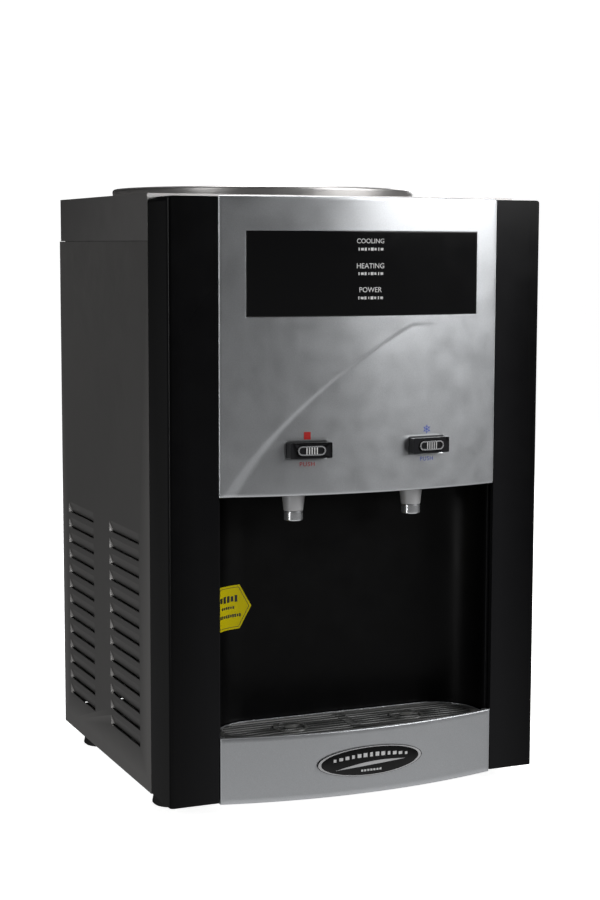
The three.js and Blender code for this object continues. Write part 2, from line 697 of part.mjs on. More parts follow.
// The feed tube stands in the guard and opens the bottle's cap.
function feedTube() {
  const tip = 452;
  const profile = [[0, 384], [11, 384], [11, 403], [8.5, 406], [8.5, tip - 12], [5, tip], [0, tip]];
  const outer = turned(profile, 0, WELL_Y, 20);
  const bore = rodZ(4.5, 0, WELL_Y, 380, tip - 15, 16);
  const ports = [[12, 2], [2, 12]].map(([halfX, halfY]) =>
    box(-halfX, halfX, WELL_Y - halfY, WELL_Y + halfY, tip - 30, tip - 18),
  );
  return cut(outer, bore, ...ports);
}

add("top_cover", topCover(), silverPaint);
add("bottle_collar", bottleCollar(), silverPaint);
add("water_guard", waterGuard(), whitePlastic);
add("feed_tube", feedTube(), whitePlastic);

// ---------------------------------------------------------------- cold tank, coil and insulation
const TANK_RADIUS = 64.5;
const TANK_BOTTOM = 278;
const TANK_TOP = 394;
const COIL_WIRE = 2.8;
const COIL_RADIUS = TANK_RADIUS + COIL_WIRE + 2.4;
const FOAM_RADIUS = 79.5;
const FOAM_BORE = 73.6;
const COLD_PORT_X = 30;
const COLD_PORT_Z = 290;
const COLD_PORT_END = 108;
const DOWN_PORT_X = -30; // feeds the hot tank below
const DOWN_PORT_Y = 176;
const DOWN_PORT_END = 256;
const TANK_SIDES = 32;

function coldTank() {
  const w = 1.6;
  const profile = [
    [0, TANK_BOTTOM], [TANK_RADIUS, TANK_BOTTOM], [TANK_RADIUS, TANK_TOP - w],
    [TANK_RADIUS + 10, TANK_TOP - w], [TANK_RADIUS + 10, TANK_TOP],
    [TANK_RADIUS - w, TANK_TOP], [TANK_RADIUS - w, TANK_BOTTOM + w], [0, TANK_BOTTOM + w],
  ];
  const cup = turned(profile, 0, WELL_Y, TANK_SIDES);
  const ports = [
    rodY(6, COLD_PORT_X, COLD_PORT_END, WELL_Y - 50, COLD_PORT_Z, 12),
    rodZ(6, DOWN_PORT_X, DOWN_PORT_Y, DOWN_PORT_END, TANK_BOTTOM + 1, 12),
  ];
  const bores = [
    rodY(4, COLD_PORT_X, COLD_PORT_END - 5, WELL_Y - 40, COLD_PORT_Z, 10),
    rodZ(4, DOWN_PORT_X, DOWN_PORT_Y, DOWN_PORT_END - 5, TANK_BOTTOM + 5, 10),
  ];
  const inside = rodZ(TANK_RADIUS - w, 0, WELL_Y, TANK_BOTTOM + w, TANK_TOP, TANK_SIDES);
  return cut(join(cup, ...ports.map((port) => cut(port, inside))), ...bores);
}

function coldTankFoam() {
  const bottom = TANK_BOTTOM - 14;
  const profile = [
    [0, bottom], [FOAM_RADIUS, bottom], [FOAM_RADIUS, TANK_TOP - 2.2], [FOAM_BORE, TANK_TOP - 2.2],
    [FOAM_BORE, TANK_BOTTOM - GAP], [0, TANK_BOTTOM - GAP],
  ];
  const shell = turned(profile, 0, WELL_Y, TANK_SIDES);
  const front = rodY(6.4, COLD_PORT_X, 90, WELL_Y - 50, COLD_PORT_Z, 12);
  const below = rodZ(6.4, DOWN_PORT_X, DOWN_PORT_Y, bottom - 5, TANK_BOTTOM + 5, 12);
  return cut(shell, front, below);
}

function evaporatorCoil() {
  const turns = 4;
  return tube(new Helix(0, WELL_Y, COIL_RADIUS, 306, 370, turns), COIL_WIRE, turns * 14, 5);
}

add("cold_tank", coldTank(), stainless);
add("cold_tank_foam", coldTankFoam(), foam);
add("evaporator_coil", evaporatorCoil(), copper);

// ---------------------------------------------------------------- hot tank and heater
const HOT_X = -82;
const HOT_Y = 122;
const HOT_RADIUS = 42;
const HOT_BOTTOM = 150;
const HOT_TOP = 232;
const HOT_INLET_Z = 160;
const HOT_INLET_END = 176;

function hotTank() {
  const w = 1.5;
  const can = turned(
    [[0, HOT_BOTTOM], [HOT_RADIUS, HOT_BOTTOM], [HOT_RADIUS, HOT_TOP], [0, HOT_TOP]],
    HOT_X, HOT_Y, 32,
  );
  const inside = turned(
    [[0, HOT_BOTTOM + w], [HOT_RADIUS - w, HOT_BOTTOM + w], [HOT_RADIUS - w, HOT_TOP - w], [0, HOT_TOP - w]],
    HOT_X, HOT_Y, 32,
  );
  const outlet = rodZ(5, HOT_X, HOT_Y, HOT_TOP - 0.5, HOT_TOP + 8, 12);
  const outletBore = rodZ(3, HOT_X, HOT_Y, HOT_TOP - 5, HOT_TOP + 10, 10);
  const inlet = rodY(5, HOT_X, HOT_Y + HOT_RADIUS - 1, HOT_INLET_END, HOT_INLET_Z, 12);
  const inletBore = rodY(3, HOT_X, HOT_Y + HOT_RADIUS - 6, HOT_INLET_END + 5, HOT_INLET_Z, 10);
  const legs = [0, 1, 2].map((i) => {
    const angle = (i * 2 * Math.PI) / 3 + 0.5;
    const x = HOT_X + (HOT_RADIUS - 8) * Math.cos(angle);
    const y = HOT_Y + (HOT_RADIUS - 8) * Math.sin(angle);
    return rodZ(4, x, y, PAN_TOP + GAP, HOT_BOTTOM + 1, 8);
  });
  return cut(join(can, outlet, inlet, ...legs), inside, outletBore, inletBore);
}

function heaterBand() {
  const outer = HOT_RADIUS + 2.6;
  const inner = HOT_RADIUS + GAP;
  const ring = prismZ(circle(HOT_X, HOT_Y, outer, 32), 172, 204, [circle(HOT_X, HOT_Y, inner, 32)]);
  const clamp = [-4, 4].map((dy) =>
    box(HOT_X + inner, HOT_X + outer + 10, HOT_Y + dy - 1, HOT_Y + dy + 1, 180, 196),
  );
  const split = box(HOT_X, HOT_X + outer + 2, HOT_Y - 3, HOT_Y + 3, 160, 210);
  return join(cut(ring, split), ...clamp);
}

function hotThermostat() {
  const bottom = HOT_TOP + GAP;
  const step = HOT_TOP + 8;
  const top = HOT_TOP + 12;
  const profile = [[0, bottom], [8, bottom], [8, step], [5, step], [5, top], [0, top]];
  return turned(profile, HOT_X + 22, HOT_Y, 16);
}

add("hot_tank", hotTank(), stainless);
add("heater_band", heaterBand(), satinMetal);
add("hot_thermostat", hotThermostat(), blackAbs);

// ---------------------------------------------------------------- taps
const SEAT_Z = 226;
const CHAMBER_TOP = 247;
const INLET_Z = 242.8;
const INLET_END = 42;
const ROD_RADIUS = 2;
const ARM_HALF = 2.5;
const PIN_RADIUS = 1.5;
const PIN_HOLE = 1.65;
const PAD_HALF_TALL = 3.6;
const RIB_PITCH = 2;
const PAD_RIM = 1.1;
const DISH_DEPTH = 0.9;
const PAD_BACK = -16.5; // where a pad ends and its rod goes on
const TIP_JOINT = 218.4; // where the bright tip meets the tap's cone

// The housing's sides run straight back and its face follows the bowed fascia.
function bezel(x) {
  const z0 = BUTTON_Z - BEZEL_TALL / 2;
  const z1 = BUTTON_Z + BEZEL_TALL / 2;
  const block = prismY(roundedRect(x - BEZEL_HALF, x + BEZEL_HALF, z0, z1, 0.8, 2), -40, -6.5);
  const housing = common(block, bowedPlate(OPEN_HALF, -BEZEL_PROUD, WALL + 10, z0, z1));
  const flange = box(x - BEZEL_HALF - 3, x + BEZEL_HALF + 3, -7, -5, z0 - 3, z1 + 3);
  const padHole = prismY(stadium(x, BUTTON_Z, PAD_HALF_LONG + 0.5, PAD_HALF_TALL + 0.5), -40, -9);
  const rodHole = rodY(ROD_RADIUS + GAP, x, -12, 0, BUTTON_Z, 16);
  return cut(join(housing, flange), padHole, rodHole);
}

// A slot-shaped outline with round ends about (x, z).
function stadium(x, z, halfLong, halfTall) {
  return roundedRect(x - halfLong, x + halfLong, z - halfTall, z + halfTall, halfTall - 0.01, 6);
}

// A dished and ribbed pad with the rod behind it that pushes the lever.
function button(x) {
  const z0 = BUTTON_Z - PAD_HALF_TALL;
  const z1 = BUTTON_Z + PAD_HALF_TALL;
  const bowedBlock = (proud) => bowedPlate(OPEN_HALF, -proud, WALL, z0 - 1, z1 + 1);
  const outline = stadium(x, BUTTON_Z, PAD_HALF_LONG, PAD_HALF_TALL);
  const pad = common(prismY(outline, -40, PAD_BACK), bowedBlock(PAD_PROUD));
  const dishOutline = stadium(x, BUTTON_Z, PAD_HALF_LONG - PAD_RIM, PAD_HALF_TALL - PAD_RIM);
  const dish = cut(prismY(dishOutline, -40, PAD_BACK), bowedBlock(PAD_PROUD - DISH_DEPTH));
  const ribs = [-2, -1, 0, 1, 2].map((i) => {
    const ribX = x + i * RIB_PITCH;
    const front = bowY(ribX) - PAD_PROUD + 0.1;
    return box(ribX - 0.45, ribX + 0.45, front, front + 2 * DISH_DEPTH, z0 + 0.8, z1 - 0.8);
  });
  const ballY = LEVER_Y - ARM_HALF - ROD_RADIUS - GAP;
  const pushRod = rodY(ROD_RADIUS, x, PAD_BACK - 1, ballY, BUTTON_Z, 10);
  const ball = new THREE.SphereGeometry(ROD_RADIUS, 10, 6).translate(x, ballY, BUTTON_Z);
  return join(cut(pad, dish), ...ribs, pushRod, ball);
}

// A bell crank: the button's rod pushes its upright arm, and its fork lifts the plunger's cross pin.
function lever(x) {
  const upright = box(x - 4, x + 4, LEVER_Y - ARM_HALF, LEVER_Y + ARM_HALF, LEVER_Z, BUTTON_Z + 3);
  const hub = rodX(3.4, x - 6.2, x + 6.2, LEVER_Y, LEVER_Z, 20);
  const prongs = [-1, 1].map((side) => {
    const [x0, x1] = side > 0 ? [x + 3.2, x + 6.2] : [x - 6.2, x - 3.2];
    return box(x0, x1, TAP_Y - 2, LEVER_Y, LEVER_Z - 1.5, LEVER_Z + 1.5);
  });
  return cut(join(upright, hub, ...prongs), rodX(PIN_HOLE, x - 10, x + 10, LEVER_Y, LEVER_Z, 16));
}

function leverPin(x) {
  return rodX(PIN_RADIUS, x - 10, x + 10, LEVER_Y, LEVER_Z, 16);
}

function plunger(x) {
  const crossZ = LEVER_Z + 1.5 + PIN_RADIUS + GAP;
  const sealProfile = [[0, SEAT_Z + GAP], [5.2, SEAT_Z + GAP], [5.4, SEAT_Z + 3], [0, SEAT_Z + 3]];
  const seal = turned(sealProfile, x, TAP_Y, 20);
  const stem = rodZ(PIN_RADIUS, x, TAP_Y, SEAT_Z + 2, crossZ + 2.5, 14);
  return join(seal, stem, rodX(PIN_RADIUS, x - 6.2, x + 6.2, TAP_Y, crossZ, 14));
}

function valveSpring(x) {
  const wire = 0.6;
  const turns = 5;
  return tube(new Helix(x, TAP_Y, 4, SEAT_Z + 4.2, CHAMBER_TOP - 1, turns), wire, turns * 8, 4);
}

function bonnet(x) {
  const z = CHAMBER_TOP + GAP;
  return turned([[1.9, z], [9, z], [9, z + 1.4], [8, z + 2], [1.9, z + 2], [1.9, z]], x, TAP_Y, 24);
}

function valveBody(x) {
  const roof = ALCOVE_TOP + WALL;
  const profile = [
    [0, TIP_JOINT], [7.6, TIP_JOINT], [9.1, 232], [9.4, 234],
    [9.4, roof + GAP], [13, roof + GAP], [13, roof + 3],
    [9.6, roof + 3], [9.6, CHAMBER_TOP], [0, CHAMBER_TOP],
  ];
  const body = turned(profile, x, TAP_Y, 24);
  const inlet = rodY(4, x, TAP_Y, INLET_END, INLET_Z, 12);
  const chamber = rodZ(6.1, x, TAP_Y, SEAT_Z, CHAMBER_TOP + 2, 16);
  const bore = rodZ(3.6, x, TAP_Y, 210, SEAT_Z + 2, 12);
  return cut(join(body, inlet), chamber, bore, rodY(2.2, x, TAP_Y, INLET_END + 2, INLET_Z, 8));
}

function nozzle(x) {
  const z0 = NOZZLE_BOTTOM;
  const z1 = TIP_JOINT - GAP;
  return turned([[5.2, z0], [6.9, z0], [7.4, z0 + 0.6], [7.4, z1], [3.6, z1], [5.2, z0]], x, TAP_Y, 24);
}

function tapBracket() {
  const y = 36;
  const reach = TAP_X + 24;
  const plate = box(-reach, reach, y, y + 1.5, 250, 262);
  const pieces = [plate];
  const roof = ALCOVE_TOP + WALL + GAP;
  for (const side of [-1, 1]) {
    const [x0, x1] = side > 0 ? [reach - 6, reach] : [-reach, -reach + 6];
    pieces.push(box(x0, x1, y, y + 1.5, roof, 251));
    pieces.push(box(x0, x1, y - 8, y + 1.5, roof, roof + 1.5));
    for (const dx of [-8.2, 8.2]) {
      const x = side * TAP_X + dx;
      const outline = [[y + 0.5, 258], [LEVER_Y - 3, 255], [LEVER_Y - 3, 247.6], [y + 0.5, 250.5]];
      pieces.push(prismX(outline, x - 0.75, x + 0.75));
    }
  }
  const holes = [-TAP_X, TAP_X].map((x) => rodX(PIN_HOLE, x - 14, x + 14, LEVER_Y, LEVER_Z, 16));
  return cut(join(...pieces), ...holes);
}

for (const [name, x] of [["hot", -TAP_X], ["cold", TAP_X]]) {
  add(`${name}_bezel`, bezel(x), blackGloss);
  add(`${name}_button`, button(x), blackAbs);
  add(`${name}_lever`, lever(x), whitePlastic);
  add(`${name}_lever_pin`, leverPin(x), stainless);
  add(`${name}_plunger`, plunger(x), silicone);
  add(`${name}_spring`, valveSpring(x), stainless);
  add(`${name}_bonnet`, bonnet(x), whitePlastic);
  add(`${name}_valve_body`, valveBody(x), satinMetal);
  add(`${name}_nozzle`, nozzle(x), chrome);
}
add("tap_bracket", tapBracket(), galvanised);

// ---------------------------------------------------------------- hoses
const HOSE_GAP = 0.8; // a hose's cut end tilts a little against its fitting

function coldHose() {
  const start = [TAP_X, INLET_END + HOSE_GAP, INLET_Z];
  const end = [COLD_PORT_X, COLD_PORT_END - HOSE_GAP, COLD_PORT_Z];
  const bends = [[TAP_X, 54, INLET_Z + 1.5], [44, 72, 262], [COLD_PORT_X, 94, COLD_PORT_Z - 4]];
  return hose([start, ...bends, end], 4, 16);
}

function hotHose() {
  const start = [-TAP_X, INLET_END + HOSE_GAP, INLET_Z];
  const end = [HOT_X, HOT_Y, HOT_TOP + 8 + HOSE_GAP];
  const bends = [[-TAP_X, 58, INLET_Z + 1.5], [-64, 88, 254], [-78, 113, 256], [HOT_X, HOT_Y, 250]];
  return hose([start, ...bends, end], 4, 20);
}

function transferHose() {
  const start = [DOWN_PORT_X, DOWN_PORT_Y, DOWN_PORT_END - HOSE_GAP];
  const end = [HOT_X, HOT_INLET_END + HOSE_GAP, HOT_INLET_Z];
  const bends = [[DOWN_PORT_X, DOWN_PORT_Y + 2, 240], [-54, 198, 204], [HOT_X, 192, HOT_INLET_Z + 3]];
  return hose([start, ...bends, end], 4, 18);
}

add("cold_hose", coldHose(), silicone);
add("transfer_hose", transferHose(), silicone);
add("hot_hose", hotHose(), silicone);

// ---------------------------------------------------------------- refrigeration
const COMPRESSOR_X = 48;
const COMPRESSOR_Y = 190;
const COMPRESSOR_RADIUS = 58;
const COMPRESSOR_BOTTOM = 16;
const COMPRESSOR_TOP = 132;

// A domed steel can with a welded belt round its middle, on a plate with four rubber mounts.
function compressor() {
  const belt = (COMPRESSOR_BOTTOM + COMPRESSOR_TOP) / 2 - 7;
  const radius = COMPRESSOR_RADIUS;
  const can = turned(
    [
      [0, COMPRESSOR_BOTTOM], [radius - 14, COMPRESSOR_BOTTOM], [radius - 2, COMPRESSOR_BOTTOM + 14],
      [radius, belt - 5], [radius + 2, belt - 3], [radius + 2, belt + 3], [radius, belt + 5],
      [radius - 2, COMPRESSOR_TOP - 28], [radius - 14, COMPRESSOR_TOP - 8], [radius - 36, COMPRESSOR_TOP],
      [0, COMPRESSOR_TOP],
    ],
    COMPRESSOR_X, COMPRESSOR_Y, 24,
  );
  const plateX = radius + 8;
  const plateY = radius - 13;
  const plateBottom = COMPRESSOR_BOTTOM - 3;
  const plate = box(
    COMPRESSOR_X - plateX, COMPRESSOR_X + plateX, COMPRESSOR_Y - plateY, COMPRESSOR_Y + plateY,
    plateBottom, COMPRESSOR_BOTTOM + 1,
  );
  const mounts = [];
  for (const x of [COMPRESSOR_X - plateX + 8, COMPRESSOR_X + plateX - 8]) {
    for (const y of [COMPRESSOR_Y - plateY + 8, COMPRESSOR_Y + plateY - 8]) {
      mounts.push(rodZ(7, x, y, PAN_TOP + GAP, plateBottom + 1, 8));
    }
  }
  const boxFront = COMPRESSOR_Y - radius - 14;
  const terminalPlan = rect(COMPRESSOR_X - 20, COMPRESSOR_X + 20, boxFront, boxFront + 22);
  const terminalBox = prismZ(terminalPlan, belt - 17, belt + 23);
  return join(can, plate, ...mounts, terminalBox);
}

// A serpentine of round tube on two straps, with stand-offs to the rear panel.
function condenser() {
  const y = BODY_DEPTH + 17;
  const radius = 2.6;
  const half = 92;
  const pitch = 44;
  const passes = 7;
  const bottom = 96;
  const pieces = [];
  for (let pass = 0; pass < passes; pass++) {
    const z = bottom + pass * pitch;
    pieces.push(rodX(radius, -half - 0.2, half + 0.2, y, z, 6));
    if (pass === passes - 1) continue;
    const side = pass % 2 === 0 ? 1 : -1;
    const bend = new THREE.CatmullRomCurve3(
      arc(0, 0, pitch / 2, -90, 90, 6).map(
        ([a, b]) => new THREE.Vector3(side * (half + a), y, z + pitch / 2 + b),
      ),
    );
    pieces.push(tube(bend, radius, 5, 6));
  }
  const top = bottom + (passes - 1) * pitch;
  for (const x of [-70, 70]) {
    pieces.push(box(x - 5, x + 5, y - radius - 0.6, y - radius + 0.8, bottom - 14, top + 14));
    for (const z of [bottom - 9, top + 9]) {
      pieces.push(rodY(4, x, BODY_DEPTH + GAP, y - radius, z, 10));
    }
  }
  return join(...pieces);
}

// A copper capsule with a thin pipe stub at each end.
function filterDrier() {
  const bottom = 168;
  const top = bottom + 94;
  const profile = [
    [0, bottom], [3, bottom], [3, bottom + 10], [10, bottom + 18],
    [10, top - 22], [3, top - 12], [3, top], [0, top],
  ];
  return turned(profile, 118, BODY_DEPTH - 21.5, 16);
}

// It hangs behind the right pillar, above the tap's hose.
function controlBox() {
  const right = HALF - 9;
  const front = BAND_DEPTH + 47;
  return prismZ(roundedRect(right - 58, right, front, front + 48, 3, 3), 250, 340);
}

add("compressor", compressor(), compressorBlack);
add("condenser", condenser(), compressorBlack);
add("filter_drier", filterDrier(), copper);
add("control_box", controlBox(), whitePlastic);

// ---------------------------------------------------------------- place the machine on its origin
dispenser.position.set(0, -(FRONTMOST + HOOD_REAR) / 2, FOOT_HEIGHT);

export default dispenser;
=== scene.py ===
import json
import math

import bmesh
import bpy
from mathutils import Matrix, Vector
from mathutils.bvhtree import BVHTree


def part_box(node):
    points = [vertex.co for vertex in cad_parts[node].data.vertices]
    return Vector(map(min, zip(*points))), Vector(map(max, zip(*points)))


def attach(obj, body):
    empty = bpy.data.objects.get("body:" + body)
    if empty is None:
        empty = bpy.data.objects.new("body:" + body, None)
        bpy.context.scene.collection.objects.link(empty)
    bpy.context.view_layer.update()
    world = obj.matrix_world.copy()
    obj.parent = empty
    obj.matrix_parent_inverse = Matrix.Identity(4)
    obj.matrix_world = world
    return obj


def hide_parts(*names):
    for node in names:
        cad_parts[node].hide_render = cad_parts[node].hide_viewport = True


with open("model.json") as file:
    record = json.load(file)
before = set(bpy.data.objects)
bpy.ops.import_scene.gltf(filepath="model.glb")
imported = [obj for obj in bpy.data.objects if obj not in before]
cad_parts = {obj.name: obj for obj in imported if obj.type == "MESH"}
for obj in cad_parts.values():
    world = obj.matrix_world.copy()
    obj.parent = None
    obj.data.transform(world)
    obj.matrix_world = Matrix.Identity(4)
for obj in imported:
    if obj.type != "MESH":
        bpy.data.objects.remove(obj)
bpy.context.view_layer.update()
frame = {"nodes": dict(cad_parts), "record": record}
NODES = frame["nodes"]


# ------------------------------------------------------------------ camera
CAMERA_TARGET = Vector((0.01397, -0.0031, 0.2586))
CAMERA_DISTANCE = 1.52796
CAMERA_AZIMUTH = math.radians(-23.27)
CAMERA_ELEVATION = math.radians(6.405)
CAMERA_ROLL = math.radians(0.139)
CAMERA_LENS = 72.42


def make_camera():
    """A camera at a distance from its target, turned by azimuth, elevation and roll."""
    a, e = CAMERA_AZIMUTH, CAMERA_ELEVATION
    back = Vector((math.sin(a) * math.cos(e), -math.cos(a) * math.cos(e), math.sin(e)))
    right = Vector((math.cos(a), math.sin(a), 0))
    up = back.cross(right)
    right, up = (
        math.cos(CAMERA_ROLL) * right + math.sin(CAMERA_ROLL) * up,
        math.cos(CAMERA_ROLL) * up - math.sin(CAMERA_ROLL) * right,
    )
    data = bpy.data.cameras.new("camera")
    data.lens = CAMERA_LENS
    data.sensor_width = 36
    data.clip_start = 0.05
    data.clip_end = 30
    camera = bpy.data.objects.new("camera", data)
    bpy.context.scene.collection.objects.link(camera)
    turn = Matrix((right, up, back)).transposed().to_4x4()
    camera.matrix_world = Matrix.Translation(CAMERA_TARGET + back * CAMERA_DISTANCE) @ turn
    bpy.context.scene.camera = camera


make_camera()


# ------------------------------------------------------------------ materials
class Nodes:
    """A short way to wire a material's nodes."""

    def __init__(self, name):
        self.material = bpy.data.materials.new(name)
        self.material.use_nodes = True
        self.tree = self.material.node_tree
        self.shader = self.tree.nodes["Principled BSDF"]
        self.position = self.add("ShaderNodeTexCoord").outputs["Object"]

    def add(self, kind, **values):
        node = self.tree.nodes.new(kind)
        for key, value in values.items():
            setattr(node, key, value)
        return node

    def link(self, source, target):
        self.tree.links.new(source, target)

    def scaled(self, scale):
        mapping = self.add("ShaderNodeMapping")
        mapping.inputs["Scale"].default_value = scale
        self.link(self.position, mapping.inputs["Vector"])
        return mapping.outputs["Vector"]

    def noise(self, scale, detail=3.0, rough=0.55, stretch=(1, 1, 1)):
        noise = self.add("ShaderNodeTexNoise")
        noise.inputs["Scale"].default_value = scale
        noise.inputs["Detail"].default_value = detail
        noise.inputs["Roughness"].default_value = rough
        self.link(self.scaled(stretch), noise.inputs["Vector"])
        return noise.outputs["Fac"]

    def ranged(self, value, low, high, source=(0.3, 0.7)):
        ramp = self.add("ShaderNodeMapRange")
        ramp.inputs["From Min"].default_value = source[0]
        ramp.inputs["From Max"].default_value = source[1]
        ramp.inputs["To Min"].default_value = low
        ramp.inputs["To Max"].default_value = high
        self.link(value, ramp.inputs["Value"])
        return ramp.outputs["Result"]

    def blend(self, factor, low, high):
        mix = self.add("ShaderNodeMix", data_type="RGBA")
        self.link(factor, mix.inputs["Factor"])
        for socket, value in ((mix.inputs["A"], low), (mix.inputs["B"], high)):
            if isinstance(value, bpy.types.NodeSocket):
                self.link(value, socket)
            else:
                socket.default_value = (*value, 1)
        return mix.outputs["Result"]

    def edges(self, low=0.52, high=0.62):
        """1 along convex edges: the mask where a lighter colour paints a highlight."""
        geometry = self.add("ShaderNodeNewGeometry")
        return self.ranged(geometry.outputs["Pointiness"], 0, 1, (low, high))

    def bump(self, height, strength, distance):
        bump = self.add("ShaderNodeBump")
        bump.inputs["Strength"].default_value = strength
        bump.inputs["Distance"].default_value = distance
        self.link(height, bump.inputs["Height"])
        self.link(bump.outputs["Normal"], self.shader.inputs["Normal"])

    def set(self, values):
        """Sets the shader's own sockets, by name."""
        for socket, value in values.items():
            self.shader.inputs[socket].default_value = value


def varied(color, amount):
    """A colour a share darker and the same share lighter."""
    return tuple(c * (1 - amount) for c in color), tuple(min(1, c * (1 + amount)) for c in color)


# Texture scales are in waves to a metre.
CLOUD_SCALE = 14
SMUDGE_SCALE = 38
FLAKE_SCALE = 2600


def surface(name, color, roughness, metallic=0.0, grain=900, grain_depth=0.00002, spread=0.06,
            rough_spread=0.05, edge=None, coat=0.0, coat_roughness=0.1, specular=0.5, bump=0.25):
    """A finished surface: cloudy colour, uneven gloss, fine grain and a painted highlight along convex
    edges.
    """
    m = Nodes(name)
    m.set({"Metallic": metallic, "Coat Weight": coat, "Coat Roughness": coat_roughness})
    m.set({"Specular IOR Level": specular})
    dark, light = varied(color, spread)
    clouds = m.noise(CLOUD_SCALE, 4)
    tone = m.blend(m.ranged(clouds, 0, 1), dark, light)
    # A lighter edge colour along convex edges is a painted highlight.
    if edge:
        tone = m.blend(m.edges(), tone, edge)
    m.link(tone, m.shader.inputs["Base Color"])
    smudges = m.noise(SMUDGE_SCALE, 5, 0.65)
    gloss = m.ranged(smudges, roughness - rough_spread, roughness + rough_spread)
    m.link(gloss, m.shader.inputs["Roughness"])
    m.bump(m.noise(grain, 2), bump, grain_depth)
    return m.material


def metallic_paint(name, color, roughness):
    """Silver paint: bright flakes in a satin base, under a soft clear layer."""
    m = Nodes(name)
    m.set({"Metallic": 0.85, "Coat Weight": 0.15, "Coat Roughness": 0.3})
    dark, light = varied(color, 0.1)
    flakes = m.blend(m.ranged(m.noise(FLAKE_SCALE, 1, 0.5), 0, 1), dark, light)
    low, high = varied((1, 1, 1), 0.03)
    clouds = m.blend(m.ranged(m.noise(9, 3), 0, 1), low, high)
    shade = m.add("ShaderNodeMix", data_type="RGBA", blend_type="MULTIPLY")
    shade.inputs["Factor"].default_value = 1
    m.link(flakes, shade.inputs["A"])
    m.link(clouds, shade.inputs["B"])
    # A lighter tone along convex edges is a painted highlight.
    bright = tuple(min(1, c * 1.5) for c in color)
    edge_lit_tone = m.blend(m.edges(), shade.outputs["Result"], bright)
    m.link(edge_lit_tone, m.shader.inputs["Base Color"])
    m.link(m.ranged(m.noise(60, 4), roughness - 0.03, roughness + 0.03), m.shader.inputs["Roughness"])
    m.bump(m.noise(1400, 2), 0.12, 0.00002)
    return m.material


def brushed(name, color, roughness, stretch):
    """Drawn metal: fine scratches along one way."""
    m = Nodes(name)
    m.set({"Metallic": 1.0})
    lines = m.noise(500, 3, 0.6, stretch)
    dark, light = varied(color, 0.12)
    m.link(m.blend(m.ranged(lines, 0, 1), dark, light), m.shader.inputs["Base Color"])
    m.link(m.ranged(lines, roughness - 0.08, roughness + 0.08), m.shader.inputs["Roughness"])
    m.bump(lines, 0.15, 0.00003)
    return m.material


def spangled(name, color):
    """Zinc-coated sheet, with its patchwork of crystals."""
    m = Nodes(name)
    m.set({"Metallic": 0.9})
    cells = m.add("ShaderNodeTexVoronoi")
    cells.inputs["Scale"].default_value = 130
    m.link(m.position, cells.inputs["Vector"])
    dark, light = varied(color, 0.2)
    to_grey = m.add("ShaderNodeRGBToBW")
    m.link(cells.outputs["Color"], to_grey.inputs["Color"])
    m.link(m.blend(to_grey.outputs["Val"], dark, light), m.shader.inputs["Base Color"])
    m.link(m.ranged(to_grey.outputs["Val"], 0.38, 0.55, (0, 1)), m.shader.inputs["Roughness"])
    m.bump(m.noise(400, 2), 0.1, 0.00003)
    return m.material


# The edge colours, lighter than their bases, paint highlights along convex edges.
MATERIALS = {
    "black_abs": surface("black_abs", (0.001, 0.001, 0.0012), 0.2, rough_spread=0.03, grain=1500,
                         specular=0.14, edge=(0.01, 0.01, 0.011)),
    "black_satin": surface("black_satin", (0.0012, 0.0012, 0.0014), 0.36, grain=1300,
                           specular=0.14, edge=(0.01, 0.01, 0.011)),
    "black_gloss": surface("black_gloss", (0.003, 0.003, 0.0035), 0.09, rough_spread=0.02, grain=300,
                           coat=1.0, coat_roughness=0.04, bump=0.04),
    "button_gloss": surface("button_gloss", (0.002, 0.002, 0.0023), 0.14, rough_spread=0.03,
                            coat=0.15, specular=0.3, edge=(0.02, 0.02, 0.022)),
    "badge_black": surface("badge_black", (0.002, 0.002, 0.0023), 0.12, rough_spread=0.02,
                           coat=0.2, specular=0.25, bump=0.05),
    "silver_paint": metallic_paint("silver_paint", (0.6, 0.615, 0.635), 0.31),
    "cover_silver": metallic_paint("cover_silver", (0.42, 0.41, 0.405), 0.36),
    "steel_paint": metallic_paint("steel_paint", (0.36, 0.352, 0.345), 0.42),
    "galvanised_steel": spangled("galvanised_steel", (0.45, 0.46, 0.47)),
    "grey_plastic": surface("grey_plastic", (0.04, 0.041, 0.04), 0.4, grain=1100,
                            edge=(0.28, 0.28, 0.27)),
    "chrome": surface("chrome", (0.72, 0.73, 0.75), 0.24, metallic=0.8, spread=0.03,
                      rough_spread=0.04, bump=0.05),
    "satin_metal": surface("satin_metal", (0.55, 0.55, 0.56), 0.42, metallic=0.35, spread=0.05),
    "rubber": surface("rubber", (0.012, 0.012, 0.012), 0.75, grain=700, bump=0.5,
                      edge=(0.04, 0.04, 0.04)),
    "stainless": brushed("stainless", (0.52, 0.52, 0.52), 0.28, (1, 1, 12)),
    "copper": surface("copper", (0.55, 0.24, 0.13), 0.32, metallic=1.0, spread=0.18,
                      rough_spread=0.1),
    "white_plastic": surface("white_plastic", (0.74, 0.75, 0.75), 0.38, spread=0.03,
                             edge=(0.85, 0.85, 0.85)),
    "foam": surface("foam", (0.76, 0.73, 0.62), 0.9, spread=0.08, grain=260, grain_depth=0.0006,
                    bump=0.8),
    "silicone": surface("silicone", (0.66, 0.67, 0.64), 0.5, spread=0.04),
    # A yellow darker than a fresh sticker's, which paints in part of the shade at the back of the alcove.
    "label_yellow": surface("label_yellow", (0.5, 0.42, 0.001), 0.5, spread=0.03, grain=500,
                            specular=0.1),
    "circuit_board": surface("circuit_board", (0.012, 0.08, 0.03), 0.3, spread=0.15),
    "compressor_black": surface("compressor_black", (0.01, 0.01, 0.011), 0.38, grain=220,
                                coat=0.4, bump=0.3, edge=(0.05, 0.05, 0.05)),
    "switch_red": surface("switch_red", (0.42, 0.015, 0.012), 0.28, coat=0.3),
    "switch_blue": surface("switch_blue", (0.015, 0.07, 0.36), 0.28, coat=0.3),
}
